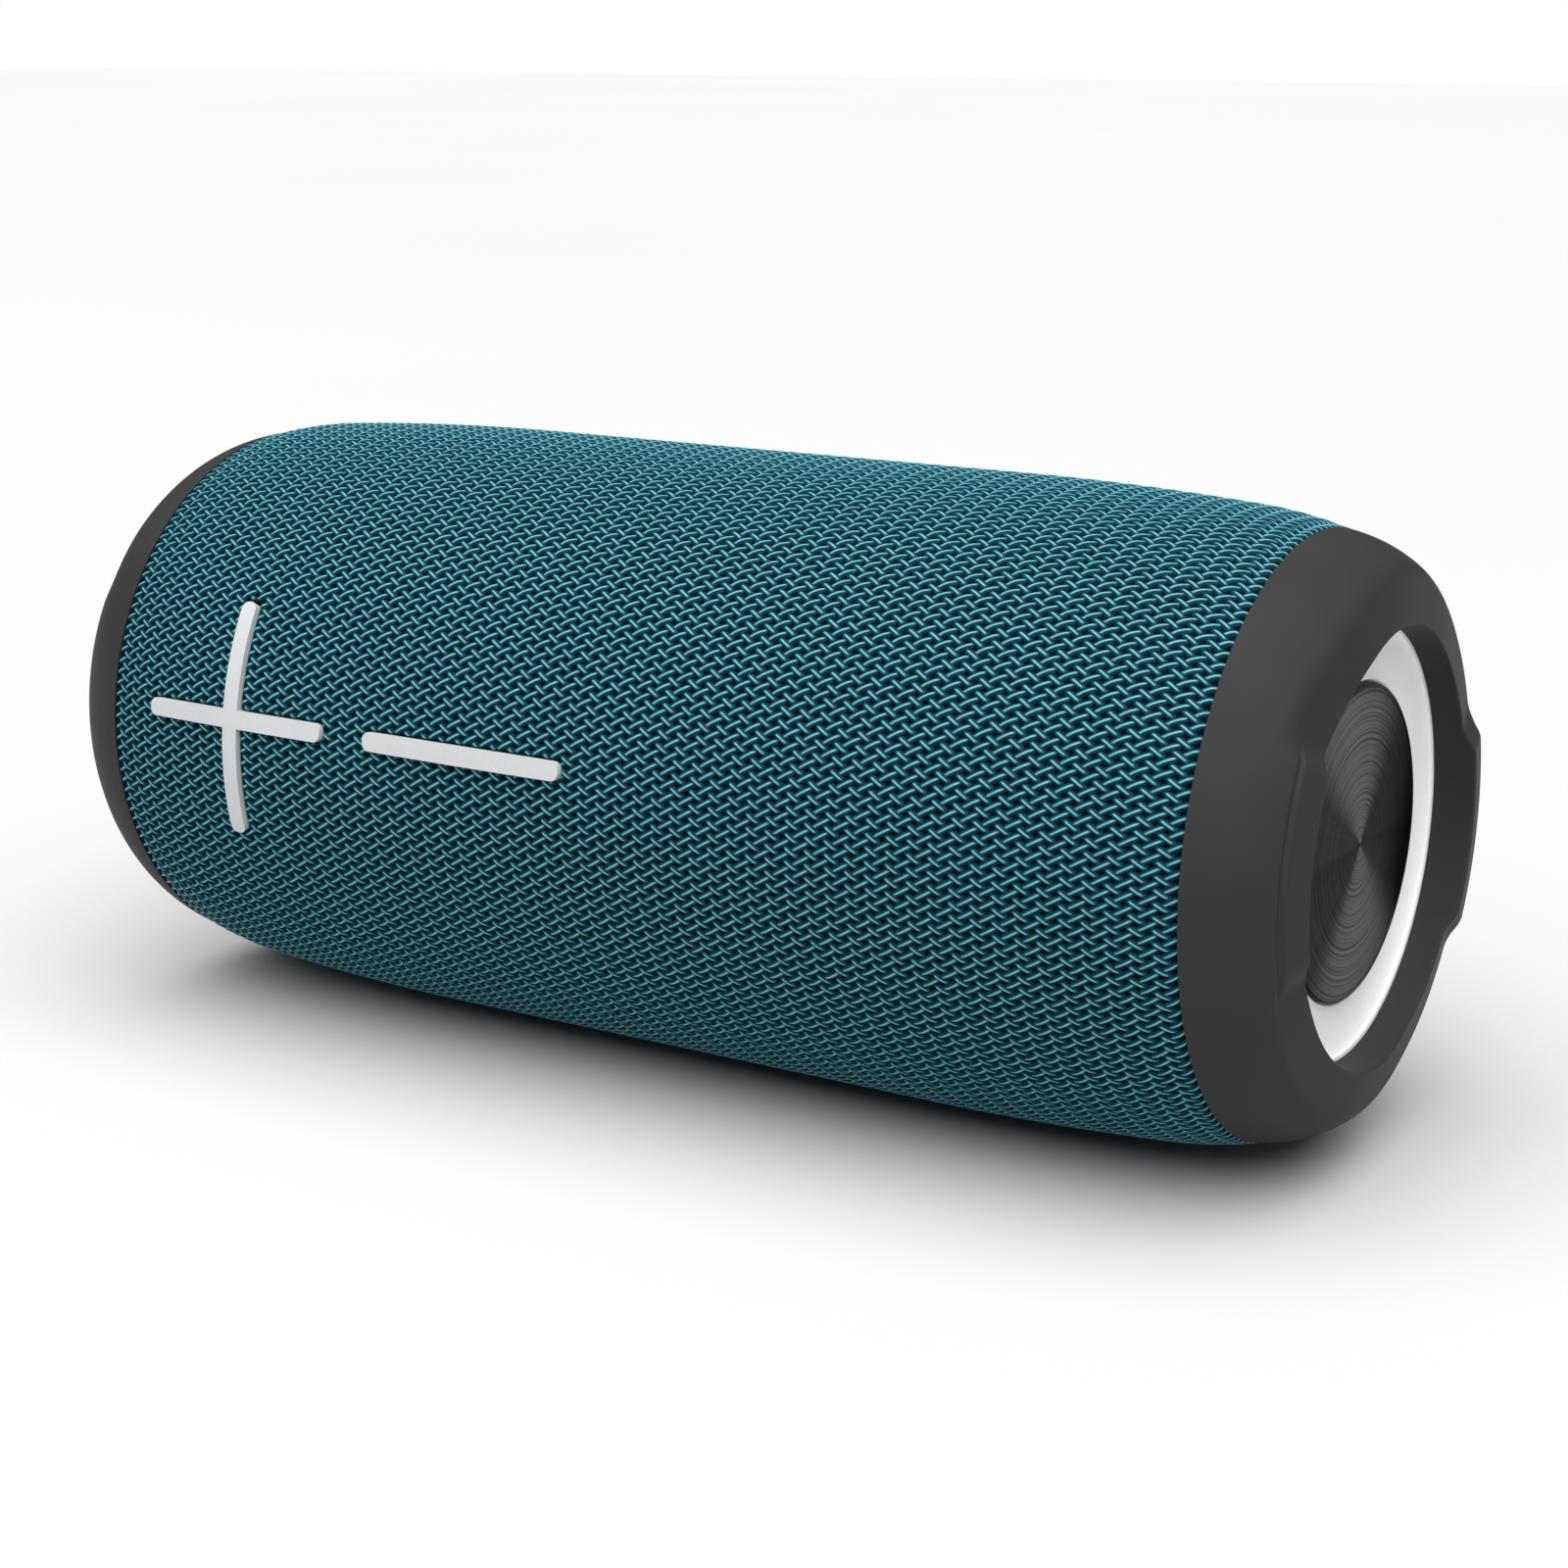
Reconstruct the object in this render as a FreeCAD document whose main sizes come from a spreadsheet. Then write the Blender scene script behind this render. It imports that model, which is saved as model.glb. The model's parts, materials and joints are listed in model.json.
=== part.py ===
"""Portable bluetooth speaker: a fabric-wrapped barrel with a passive radiator in each end cap.

Frame: origin on the supporting surface under the middle of the foot, +X along the barrel
towards the right-hand end, +Z up, and the front with its volume keys towards -Y.
"""
import FreeCAD, Part
import math
import os
import re

import Sketcher

Vector = FreeCAD.Vector
Rotation = FreeCAD.Rotation

DRIVING_SIZES = {
    # barrel outline, as the fabric's outer surface
    "body_radius": 41.0,
    "flat_half": 36.9,
    "knee_x": 70.5,
    "knee_drop": 1.26,
    "belly_arc": 440.0,
    "edge_x": 80.9,
    "edge_drop": 3.2,
    "shoulder_arc": 51.0,
    "fabric_thickness": 1.1,
    "shell_gap": 0.1,
    "shell_wall": 2.2,
    "shell_half": 79.8,
    "part_gap": 0.1,
    # shell fixings and openings
    "boss_radius": 3.2,
    "boss_length": 16.5,
    "boss_bore": 1.3,
    "boss_pilot": 1.05,
    "boss_bore_depth": 9,
    "head_seat": 8,
    "head_seat_radius": 2.5,
    "ledge_inner": 24.2,
    "ledge_outer": 31.4,
    "ledge_foot": 32.6,
    "ledge_depth": 3,
    "ledge_pilot": 0.85,
    "ledge_pilot_depth": 2.8,
    "lug_radius": 2.4,
    "lug_length": 10,
    "lug_pilot": 1.0,
    "lug_pilot_depth": 8,
    "slot_lead": 19.2,
    "slot_near": 3,
    "slot_far": 19,
    "slot_width": 2.4,
    "slot_span": 36,
    "post_radius": 2.2,
    "key_post_length": 6,
    "key_post_pilot": 0.85,
    "key_pilot_depth": 5,
    "board_post_length": 4.6,
    "board_post_pilot": 1.0,
    "board_pilot_depth": 5.4,
    # stance
    "foot_standoff": 0.45,
    "foot_half_width": 4.6,
    "foot_half_length": 35.0,
    "foot_depth": 1.6,
    "front_lift": 8.0,
    # end caps
    "rim_x": 92.4,
    "rim_radius": 31.0,
    "rim_back": 1.1,
    "brow_x": 89.3,
    "brow_radius": 35.4,
    "bore_radius": 27.1,
    "bore_floor": 86.95,
    "scoop_angle": 34.0,
    "scoop_inner_x": 91.15,
    "scoop_outer_x": 88.3,
    "scoop_outer_radius": 35.4,
    "brow_arc": 12,
    "bore_chamfer": 0.55,
    "cap_clearance": 0.2,
    "cap_step": 1.9,
    # passive radiators
    "frame_front": 83.4,
    "frame_back": 80.6,
    "frame_radius": 35.4,
    "frame_bore": 26.0,
    "collar_front": 86.1,
    "collar_radius": 30.4,
    "collar_bore": 27.6,
    "frame_screw_circle": 33.0,
    "surround_outer": 30.2,
    "surround_roll_outer": 26.9,
    "surround_roll_inner": 20.6,
    "surround_thickness": 0.75,
    "surround_depth": 2.7,
    "disc_radius": 19.7,
    "disc_back": 86.0,
    "disc_front": 87.1,
    "weight_radius": 13.0,
    "weight_length": 4.4,
    "roll_outer_arc": 3.4,
    "roll_inner_arc": 2.9,
    "roll_rise_arc": 3.2,
    "disc_crown": 0.5,
    "disc_land": 0.8,
    "disc_arc": 330,
    "disc_chamfer": 0.4,
    "glue_line": 0.05,
    "seal_width": 1,
    "frame_hole": 1.2,
    "end_head_radius": 1.9,
    "end_head_height": 1.3,
    "end_shank_radius": 0.95,
    "end_screw_length": 8.5,
    # full-range drivers
    "driver_x": 38.0,
    "baffle_bottom": 21.5,
    "baffle_thickness": 2.4,
    "baffle_half_length": 69.6,
    "baffle_half_width": 26.5,
    "driver_hole": 22.7,
    "driver_flange": 25.5,
    "driver_screw_circle": 24.0,
    "gasket_thickness": 0.6,
    "magnet_radius": 15.0,
    "magnet_bore": 8.6,
    "magnet_bottom": 1,
    "magnet_top": 7,
    "plate_bore": 7.7,
    "plate_top": 9,
    "yoke_bottom": -1.5,
    "pole_radius": 6.4,
    "coil_inner": 6.85,
    "coil_outer": 7.25,
    "coil_bottom": 4.5,
    "coil_top": 13.5,
    "basket_bore": 8.2,
    "basket_foot": 14.6,
    "basket_waist": 16.5,
    "basket_radius": 22.4,
    "basket_wall": 1,
    "driver_pilot": 0.75,
    "flange_hole": 0.8,
    "baffle_hole": 0.9,
    # battery
    "cell_radius": 9.2,
    "cell_length": 65.2,
    "cell_spread": 9.6,
    "cell_drop": 17.0,
    # main board and rear controls
    "board_y": 29.4,
    "board_thickness": 1.6,
    "board_half_length": 44.0,
    "board_half_height": 16.0,
    "panel_half_length": 38.0,
    "panel_half_angle": 13.0,
    "panel_proud": 0.2,
    "rear_key_radius": 4.2,
    "rear_key_pitch": 14.0,
    "rear_key_first": -28.0,
    "rear_collar_radius": 5.2,
    "rear_stem_radius": 1.5,
    "rear_dome_height": 1.9,
    "dome_radius": 2.6,
    "running_gap": 0.3,
    "port_x": 23.0,
    "port_half_length": 10.6,
    "port_half_height": 5.1,
    "cover_hinge_y": 40.9,
    "cover_hinge_z": -5.9,
    "cover_hinge_radius": 0.4,
    "cover_hinge_half": 8.0,
    # volume keys
    "key_bar": 2.5,
    "key_proud": 0.5,
    "plus_start": -71.9,
    "plus_end": -40.8,
    "plus_cross_x": -56.8,
    "plus_cross_angle": 45.0,
    "minus_start": -33.5,
    "minus_end": -2.1,
    "key_end_round": 1.08,
    "key_flange_half": 4,
    "key_flange_rise": 3.4,
    "key_stem_radius": 1.6,
    "key_board_y": -31.0,
    "key_board_thickness": 1.2,
    "key_board_start": -66,
    "key_board_end": 7,
    "key_board_half_height": 6,
    "key_board_hole": 1.0,
    "key_dome_height": 1.6,
}

document = FreeCAD.newDocument("portable_speaker")
sheet = document.addObject("Spreadsheet::Sheet", "Sizes")
for row, (alias, value) in enumerate(DRIVING_SIZES.items(), start=1):
    sheet.set(f"A{row}", alias)
    sheet.set(f"B{row}", str(value))
    sheet.setAlias(f"B{row}", alias)
document.recompute()

nodes = []


# ---------------------------------------------------------------- formulas
def bound(formula):
    """The formula with every alias pointing at its cell of the sheet."""
    def to_cell(match):
        word = match.group()
        return "Sizes." + word if word in DRIVING_SIZES else word
    return re.sub(r"[a-z_]+", to_cell, str(formula))


def number(formula):
    return float(sheet.evalExpression(bound(formula)))


def link(thing, prop, formula):
    thing.setExpression(prop, bound(formula))


AXIS_HEIGHT = "body_radius + foot_standoff"


def stand(thing, x="0", y="0", turn=Rotation()):
    """Puts a sub-part that is drawn about the barrel's axis at its height above the ground."""
    thing.Placement = FreeCAD.Placement(Vector(number(x), number(y), number(AXIS_HEIGHT)), turn)
    link(thing, "Placement.Base.x", x)
    link(thing, "Placement.Base.y", y)
    link(thing, "Placement.Base.z", AXIS_HEIGHT)


def keep(thing, label):
    thing.Label = label
    nodes.append(thing)
    return thing


# ---------------------------------------------------------------- bodies and sketches
def new_body(label):
    return keep(document.addObject("PartDesign::Body", label.title().replace("_", "")), label)


def origin_feature(body, role):
    return next(item for item in body.Origin.OriginFeatures if item.Role == role)


def new_sketch(body, role, turn=0.0, raised="0"):
    """A sketch on an origin plane, turned about its own X and raised along its turned normal."""
    sketch = body.newObject("Sketcher::SketchObject", "Outline")
    sketch.AttachmentSupport = [(origin_feature(body, role), "")]
    sketch.MapMode = "FlatFace"
    sketch.AttachmentOffset = FreeCAD.Placement(Vector(), Rotation(Vector(1, 0, 0), turn))
    link(sketch, "AttachmentOffset.Base.y", f"-({raised}) * sin({turn})")
    link(sketch, "AttachmentOffset.Base.z", f"({raised}) * cos({turn})")
    return sketch


def place_point(sketch, geometry, point, x, y):
    for kind, formula in (("DistanceX", x), ("DistanceY", y)):
        rule = Sketcher.Constraint(kind, -1, 1, geometry, point, number(formula))
        index = sketch.addConstraint(rule)
        link(sketch, f"Constraints[{index}]", formula)


def arc_between(start, end, radius, bulge):
    """The arc that leaves the straight line from start to end on its left (1) or right (-1)."""
    chord = end.sub(start)
    half = chord.Length / 2
    rise = radius - math.sqrt(radius * radius - half * half)
    left = Vector(-chord.y, chord.x, 0).normalize()
    middle = (start + end) * 0.5 + left * (rise * bulge)
    return Part.Arc(start, middle, end)


def outline(sketch, corners):
    """A closed outline. A corner is (x, y), or (x, y, radius, bulge) for an arc that ends there."""
    points = [Vector(number(corner[0]), number(corner[1]), 0) for corner in corners]
    first = sketch.GeometryCount
    ends = []
    for index, corner in enumerate(corners):
        start = points[index - 1]
        end = points[index]
        if len(corner) == 4:
            bulge = corner[3]
            arc = arc_between(start, end, number(corner[2]), bulge)
            geometry = sketch.addGeometry(arc)
            ends.append((geometry, 2, 1) if bulge > 0 else (geometry, 1, 2))
            radius = Sketcher.Constraint("Radius", geometry, number(corner[2]))
            rule = sketch.addConstraint(radius)
            link(sketch, f"Constraints[{rule}]", corner[2])
        else:
            geometry = sketch.addGeometry(Part.LineSegment(start, end))
            ends.append((geometry, 1, 2))
    for index, (geometry, _, last) in enumerate(ends):
        following, opening, _ = ends[(index + 1) % len(ends)]
        sketch.addConstraint(Sketcher.Constraint("Coincident", geometry, last, following, opening))
        place_point(sketch, geometry, last, corners[index][0], corners[index][1])
    if sketch.solve() != 0:
        raise RuntimeError(f"outline {first} of {sketch.Label} does not solve")
    return sketch


def rectangle(sketch, low_x, high_x, low_y, high_y):
    return outline(sketch, [(low_x, low_y), (high_x, low_y), (high_x, high_y), (low_x, high_y)])


def circle(sketch, x, y, radius):
    centre = Vector(number(x), number(y), 0)
    geometry = sketch.addGeometry(Part.Circle(centre, Vector(0, 0, 1), number(radius)))
    index = sketch.addConstraint(Sketcher.Constraint("Radius", geometry, number(radius)))
    link(sketch, f"Constraints[{index}]", radius)
    place_point(sketch, geometry, 3, x, y)
    return sketch


def revolve(body, sketch, axis="H_Axis", angle="360", both_ways=False):
    feature = body.newObject("PartDesign::Revolution", "Turned")
    feature.Profile = sketch
    feature.ReferenceAxis = (sketch, [axis])
    feature.Midplane = both_ways
    link(feature, "Angle", angle)
    document.recompute()
    return feature


def pad(body, sketch, length, reverse=False, both_ways=False):
    feature = body.newObject("PartDesign::Pad", "Raised")
    feature.Profile = sketch
    feature.Reversed = reverse
    feature.Midplane = both_ways
    link(feature, "Length", length)
    document.recompute()
    return feature


def pocket(body, sketch, length=None, reverse=False, both_ways=False):
    """Cuts the sketch out of the body and stops if that takes nothing away."""
    before = body.Shape.Volume
    feature = body.newObject("PartDesign::Pocket", "Opening")
    feature.Profile = sketch
    feature.Reversed = reverse
    feature.Midplane = both_ways
    if length is None:
        feature.Type = "ThroughAll"
    else:
        link(feature, "Length", length)
    document.recompute()
    if body.Shape.Volume > before - 0.01:
        raise RuntimeError(f"{body.Label}: the pocket cuts nothing")
    return feature


def round_edges(body, edge_names, radius):
    base = body.Tip
    fillet = body.newObject("PartDesign::Fillet", "Rounding")
    fillet.Base = (base, edge_names)
    link(fillet, "Radius", radius)
    body.Tip = fillet
    document.recompute()


def repeat_along(body, feature, sketch, span, count, axis="H_Axis"):
    pattern = body.newObject("PartDesign::LinearPattern", "Row")
    pattern.Originals = [feature]
    pattern.Direction = (sketch, [axis])
    link(pattern, "Length", span)
    pattern.Occurrences = count
    body.Tip = pattern
    document.recompute()
    return pattern


# ---------------------------------------------------------------- primitives
def block(low, high):
    """A box between two corners given as formulas, drawn about the barrel's axis."""
    box = document.addObject("Part::Box", "Block")
    for prop, start, end in zip(("Length", "Width", "Height"), low, high):
        link(box, prop, f"({end}) - ({start})")
    link(box, "Placement.Base.x", low[0])
    link(box, "Placement.Base.y", low[1])
    link(box, "Placement.Base.z", f"{AXIS_HEIGHT} + ({low[2]})")
    return box


TOWARDS = {"x": Vector(1, 0, 0), "-x": Vector(-1, 0, 0), "y": Vector(0, 1, 0),
           "-y": Vector(0, -1, 0), "z": Vector(0, 0, 1), "-z": Vector(0, 0, -1)}


def rod(start, radius, length, towards, lift=0.0):
    """A cylinder that runs from start; lift turns it about the barrel's axis."""
    cylinder = document.addObject("Part::Cylinder", "Rod")
    link(cylinder, "Radius", radius)
    link(cylinder, "Height", length)
    about_axis = FreeCAD.Placement(Vector(0, 0, number(AXIS_HEIGHT)), Rotation(Vector(1, 0, 0), lift))
    own = FreeCAD.Placement(
        Vector(*[number(value) for value in start]),
        Rotation(Vector(0, 0, 1), TOWARDS[towards]),
    )
    cylinder.Placement = about_axis.multiply(own)
    return cylinder


def fused(pieces):
    union = document.addObject("Part::MultiFuse", "Group")
    union.Shapes = pieces
    return union


def cut(base, tool):
    difference = document.addObject("Part::Cut", "Remainder")
    difference.Base = base
    difference.Tool = tool
    return difference


def screw_group(label, heads, towards, shank, length, lift=0.0):
    """Identical screws; each head's outer face is centred on its point, the shank runs on inward."""
    pieces = []
    for head in heads:
        pieces.append(rod(head, f"{shank} * 1.9", f"{shank} * 1.2", towards, lift))
        pieces.append(rod(head, shank, length, towards, lift))
    return keep(fused(pieces), label)


# ---------------------------------------------------------------- the barrel
def barrel(inset, half="edge_x"):
    """The barrel's outline from its left end to its right end, inset below the fabric's surface."""
    knee = f"body_radius - knee_drop - ({inset})"
    end = f"body_radius - edge_drop - ({inset})"
    top = f"body_radius - ({inset})"
    return [
        (f"-({half})", end),
        ("-knee_x", knee, f"shoulder_arc - ({inset})", 1),
        ("-flat_half", top, f"belly_arc - ({inset})", 1),
        ("flat_half", top),
        ("knee_x", knee, f"belly_arc - ({inset})", 1),
        (half, end, f"shoulder_arc - ({inset})", 1),
    ]


def tube_outline(sketch, outer_inset, wall, half):
    """The wall of the barrel: its outer outline and the same outline further in, walked back."""
    outer = barrel(outer_inset, half)
    inner_inset = f"{outer_inset} + {wall}"
    inner = barrel(inner_inset, half)
    back = [
        inner[5][:2],
        (*inner[4][:2], inner[5][2], -1),
        (*inner[3][:2], inner[4][2], -1),
        inner[2][:2],
        (*inner[1][:2], inner[2][2], -1),
        (*inner[0][:2], inner[1][2], -1),
    ]
    # the last inner corner closes straight onto the first outer one
    return outline(sketch, outer + back)


SHELL_INSET = "fabric_thickness + shell_gap"
SHELL_END = "shell_half"
KEY_CLEARANCE = "running_gap * 2"
WINDOW_FLARE = "16.4"
SHELL_SCREW_XS = ("-72", "0", "72")
SHELL_SCREW_Z = "31"
END_SCREW_ANGLES = (45, 135, 225, 315)
SLOT_COUNT = 9


def cut_key_windows(body):
    """Plus and minus shaped windows for the volume keys, square to the lifted front."""
    lift = number("front_lift")
    bar = f"key_bar / 2 + {KEY_CLEARANCE} / 2"
    windows = (
        (f"plus_start - {KEY_CLEARANCE}", f"plus_end + {KEY_CLEARANCE}", bar),
        (f"plus_cross_x - ({bar})", f"plus_cross_x + {bar}", WINDOW_FLARE),
        (f"minus_start - {KEY_CLEARANCE}", f"minus_end + {KEY_CLEARANCE}", bar),
    )
    for low, high, half_height in windows:
        sketch = new_sketch(body, "XZ_Plane", turn=-lift)
        rectangle(sketch, low, high, f"-({half_height})", half_height)
        pocket(body, sketch, reverse=True)


def cut_panel_window(body):
    sketch = new_sketch(body, "XZ_Plane")
    half_height = "body_radius * sin(panel_half_angle) + 2 * part_gap"
    rectangle(
        sketch, "-panel_half_length - part_gap", "panel_half_length + part_gap",
        f"-({half_height})", half_height,
    )
    pocket(body, sketch)


def cut_foot_slot(body):
    sketch = new_sketch(body, "XY_Plane")
    rectangle(
        sketch, "-foot_half_length - part_gap", "foot_half_length + part_gap",
        "-foot_half_width - part_gap", "foot_half_width + part_gap",
    )
    pocket(body, sketch)


def fabric_sleeve():
    body = new_body("fabric_sleeve")
    sketch = new_sketch(body, "XZ_Plane")
    tube_outline(sketch, "0", "fabric_thickness", "edge_x - part_gap")
    revolve(body, sketch)
    cut_key_windows(body)
    cut_panel_window(body)
    cut_foot_slot(body)
    stand(body)


def shell_half(label, front):
    """Half of the inner tube, with its bosses, grille slots, ledge for the baffle and end lugs."""
    body = new_body(label)
    sketch = new_sketch(body, "XZ_Plane")
    tube_outline(sketch, SHELL_INSET, "shell_wall", SHELL_END)
    turned = revolve(body, sketch, angle="180")
    turned.Reversed = not front
    document.recompute()
    side = "-1" if front else "1"

    bosses = new_sketch(body, "XZ_Plane")
    for x in SHELL_SCREW_XS:
        for z in (SHELL_SCREW_Z, f"-{SHELL_SCREW_Z}"):
            circle(bosses, x, z, "boss_radius")
    pad(body, bosses, "boss_length", reverse=not front)
    bores = new_sketch(body, "XZ_Plane")
    for x in SHELL_SCREW_XS:
        for z in (SHELL_SCREW_Z, f"-{SHELL_SCREW_Z}"):
            circle(bores, x, z, "boss_bore" if front else "boss_pilot")
    pocket(body, bores, length="boss_bore_depth", reverse=front)
    if front:
        heads = new_sketch(body, "XZ_Plane", raised="head_seat")
        for x in SHELL_SCREW_XS:
            for z in (SHELL_SCREW_Z, f"-{SHELL_SCREW_Z}"):
                circle(heads, x, z, "head_seat_radius")
        pocket(body, heads, reverse=True)

    ledge = new_sketch(body, "YZ_Plane")
    outline(ledge, [
        (f"{side} * ledge_inner", "baffle_bottom"), (f"{side} * ledge_inner", "baffle_bottom - ledge_depth"),
        (f"{side} * ledge_foot", "baffle_bottom - ledge_depth"), (f"{side} * ledge_outer", "baffle_bottom"),
    ])
    pad(body, ledge, "2 * baffle_half_length", both_ways=True)
    ledge_pilots = new_sketch(body, "XY_Plane", raised="baffle_bottom")
    for x, y in BAFFLE_SCREWS:
        if (number(y) < 0) == front:
            circle(ledge_pilots, x, y, "ledge_pilot")
    pocket(body, ledge_pilots, length="ledge_pilot_depth")

    lugs = new_sketch(body, "YZ_Plane", raised="shell_half - lug_length")
    for angle in END_SCREW_ANGLES:
        if (math.sin(math.radians(angle)) < 0) == front:
            circle(lugs, f"{math.sin(math.radians(angle)):.6f} * frame_screw_circle",
                   f"{math.cos(math.radians(angle)):.6f} * frame_screw_circle", "lug_radius")
    right_lugs = pad(body, lugs, "lug_length")
    mirror = body.newObject("PartDesign::Mirrored", "OtherEnd")
    mirror.Originals = [right_lugs]
    mirror.MirrorPlane = (origin_feature(body, "YZ_Plane"), [""])
    body.Tip = mirror
    document.recompute()
    pilot = new_sketch(body, "YZ_Plane", raised="shell_half - lug_pilot_depth")
    for angle in END_SCREW_ANGLES:
        if (math.sin(math.radians(angle)) < 0) == front:
            circle(pilot, f"{math.sin(math.radians(angle)):.6f} * frame_screw_circle",
                   f"{math.cos(math.radians(angle)):.6f} * frame_screw_circle", "lug_pilot")
    right_pilots = pocket(body, pilot, reverse=True)
    mirror = body.newObject("PartDesign::Mirrored", "OtherPilots")
    mirror.Originals = [right_pilots]
    mirror.MirrorPlane = (origin_feature(body, "YZ_Plane"), [""])
    body.Tip = mirror
    document.recompute()

    for driver_side in ("-1", "1"):
        slots = new_sketch(body, "XY_Plane")
        first = f"{driver_side} * driver_x - slot_lead"
        near, far = ("-slot_far", "-slot_near") if front else ("slot_near", "slot_far")
        rectangle(slots, first, f"{first} + slot_width", near, far)
        slot = pocket(body, slots, reverse=True)
        repeat_along(body, slot, slots, "slot_span", SLOT_COUNT)

    if front:
        cut_key_windows(body)
        posts = new_sketch(body, "XZ_Plane", turn=-number("front_lift"),
                           raised="-key_board_y + key_board_thickness")
        for x in KEY_BOARD_SCREW_XS:
            circle(posts, x, "0", "post_radius")
        pad(body, posts, "key_post_length")
        holes = new_sketch(body, "XZ_Plane", turn=-number("front_lift"), raised="-key_board_y")
        for x in KEY_BOARD_SCREW_XS:
            circle(holes, x, "0", "key_post_pilot")
        pocket(body, holes, length="key_pilot_depth", reverse=True)
    else:
        cut_panel_window(body)
        posts = new_sketch(body, "XZ_Plane", raised="-(board_y + board_thickness)")
        for x, z in BOARD_SCREWS:
            circle(posts, x, z, "post_radius")
        pad(body, posts, "board_post_length", reverse=True)
        holes = new_sketch(body, "XZ_Plane", raised="-board_y")
        for x, z in BOARD_SCREWS:
            circle(holes, x, z, "board_post_pilot")
        pocket(body, holes, length="board_pilot_depth")
    stand(body)


# ---------------------------------------------------------------- end caps and radiators
END_TURNS = {
    "right": Rotation(),
    "left": Rotation(Vector(0, 0, 1), 180),
}


def end_cap(side):
    """Moulded cap: a flat tab at front and back, and four planed facets that meet above and below."""
    body = new_body(f"end_cap_{side}")
    sketch = new_sketch(body, "XZ_Plane")
    outline(sketch, [
        ("edge_x", "body_radius - edge_drop"),
        ("brow_x", "brow_radius", "shoulder_arc", 1),
        ("rim_x - rim_back", "rim_radius", "brow_arc", 1),
        ("rim_x", "bore_radius + bore_chamfer"),
        ("rim_x - bore_chamfer", "bore_radius"),
        ("bore_floor", "bore_radius"),
        ("bore_floor", "collar_radius + cap_clearance"),
        ("frame_front + cap_step", "collar_radius + cap_clearance"),
        ("frame_front + cap_step", "frame_radius + cap_clearance"),
        ("edge_x", "frame_radius + cap_clearance"),
    ])
    revolve(body, sketch)
    scoop = number("scoop_angle")
    for angle in (scoop, -scoop, 180 - scoop, 180 + scoop):
        facet = new_sketch(body, "XZ_Plane", turn=angle)
        outline(facet, [
            ("scoop_inner_x", "bore_radius"),
            ("scoop_outer_x", "scoop_outer_radius"),
            ("scoop_outer_x - 3", "body_radius + 2"),
            ("rim_x + 4", "body_radius + 2"),
            ("rim_x + 4", "-10"),
            ("scoop_inner_x + (bore_radius + 10) * (scoop_inner_x - scoop_outer_x)"
             " / (scoop_outer_radius - bore_radius)", "-10"),
        ])
        pocket(body, facet, both_ways=True)
    tilt = Rotation(Vector(1, 0, 0), -number("front_lift"))
    stand(body, turn=tilt.multiply(END_TURNS[side]))


def ring(label, side, corners):
    """A part turned about the barrel's axis, for one end."""
    body = new_body(f"{label}_{side}")
    sketch = new_sketch(body, "XZ_Plane")
    outline(sketch, corners)
    revolve(body, sketch)
    stand(body, turn=END_TURNS[side])
    return body


def radiator_frame(side):
    body = ring("radiator_frame", side, [
        ("frame_back", "frame_bore"), ("frame_front", "frame_bore"),
        ("frame_front", "collar_bore"), ("collar_front", "collar_bore"),
        ("collar_front", "collar_radius"), ("frame_front", "collar_radius"),
        ("frame_front", "frame_radius"), ("frame_back", "frame_radius"),
    ])
    holes = new_sketch(body, "YZ_Plane", raised="frame_front")
    for angle in END_SCREW_ANGLES:
        circle(holes, f"{math.sin(math.radians(angle)):.6f} * frame_screw_circle",
               f"{math.cos(math.radians(angle)):.6f} * frame_screw_circle", "frame_hole")
    pocket(body, holes)


def radiator_parts(side):
    """Foam seal, white rubber surround with its inward half roll, metal disc and hidden weight."""
    ring("frame_seal", side, [
        ("shell_half", "frame_radius - seal_width"), ("frame_back", "frame_radius - seal_width"),
        ("frame_back", "frame_radius"), ("shell_half", "frame_radius"),
    ])
    crest = "collar_front - surround_depth"
    middle = "(surround_roll_outer + surround_roll_inner) / 2"
    ring("radiator_surround", side, [
        ("collar_front", "surround_outer"),
        ("collar_front", "surround_roll_outer"),
        (crest, f"{middle} + 0.9", "roll_outer_arc", -1),
        (crest, f"{middle} - 0.9"),
        ("disc_back - surround_thickness - glue_line", "surround_roll_inner", "roll_outer_arc", -1),
        ("disc_back - surround_thickness - glue_line", "weight_radius + 0.5"),
        ("disc_back - glue_line", "weight_radius + 0.5"),
        ("disc_back - glue_line", "surround_roll_inner - 0.1"),
        (f"{crest} + surround_thickness", f"{middle} - 0.7", "roll_inner_arc", 1),
        (f"{crest} + surround_thickness", f"{middle} + 0.7"),
        ("collar_front + surround_thickness", "surround_roll_outer - 0.5", "roll_rise_arc", 1),
        ("collar_front + surround_thickness", "surround_outer"),
    ])
    ring("radiator_disc", side, [
        ("disc_back", "0"), ("disc_front + disc_crown", "0"),
        ("disc_front", "disc_radius - disc_land", "disc_arc", 1),
        ("disc_front - disc_chamfer", "disc_radius"), ("disc_back", "disc_radius"),
    ])
    ring("radiator_weight", side, [
        ("disc_back - weight_length - glue_line", "0"), ("disc_back - glue_line", "0"),
        ("disc_back - glue_line", "weight_radius"),
        ("disc_back - weight_length - glue_line", "weight_radius"),
    ])


def frame_screws():
    pieces = []
    for towards, sign in (("-x", "1"), ("x", "-1")):
        for angle in END_SCREW_ANGLES:
            y = f"{math.sin(math.radians(angle)):.6f} * frame_screw_circle"
            z = f"{math.cos(math.radians(angle)):.6f} * frame_screw_circle"
            start = (f"{sign} * (frame_front + end_head_height)", y, z)
            pieces.append(rod(start, "end_head_radius", "end_head_height", towards))
            pieces.append(rod(start, "end_shank_radius", "end_screw_length", towards))
    keep(fused(pieces), "frame_screws")


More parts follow.
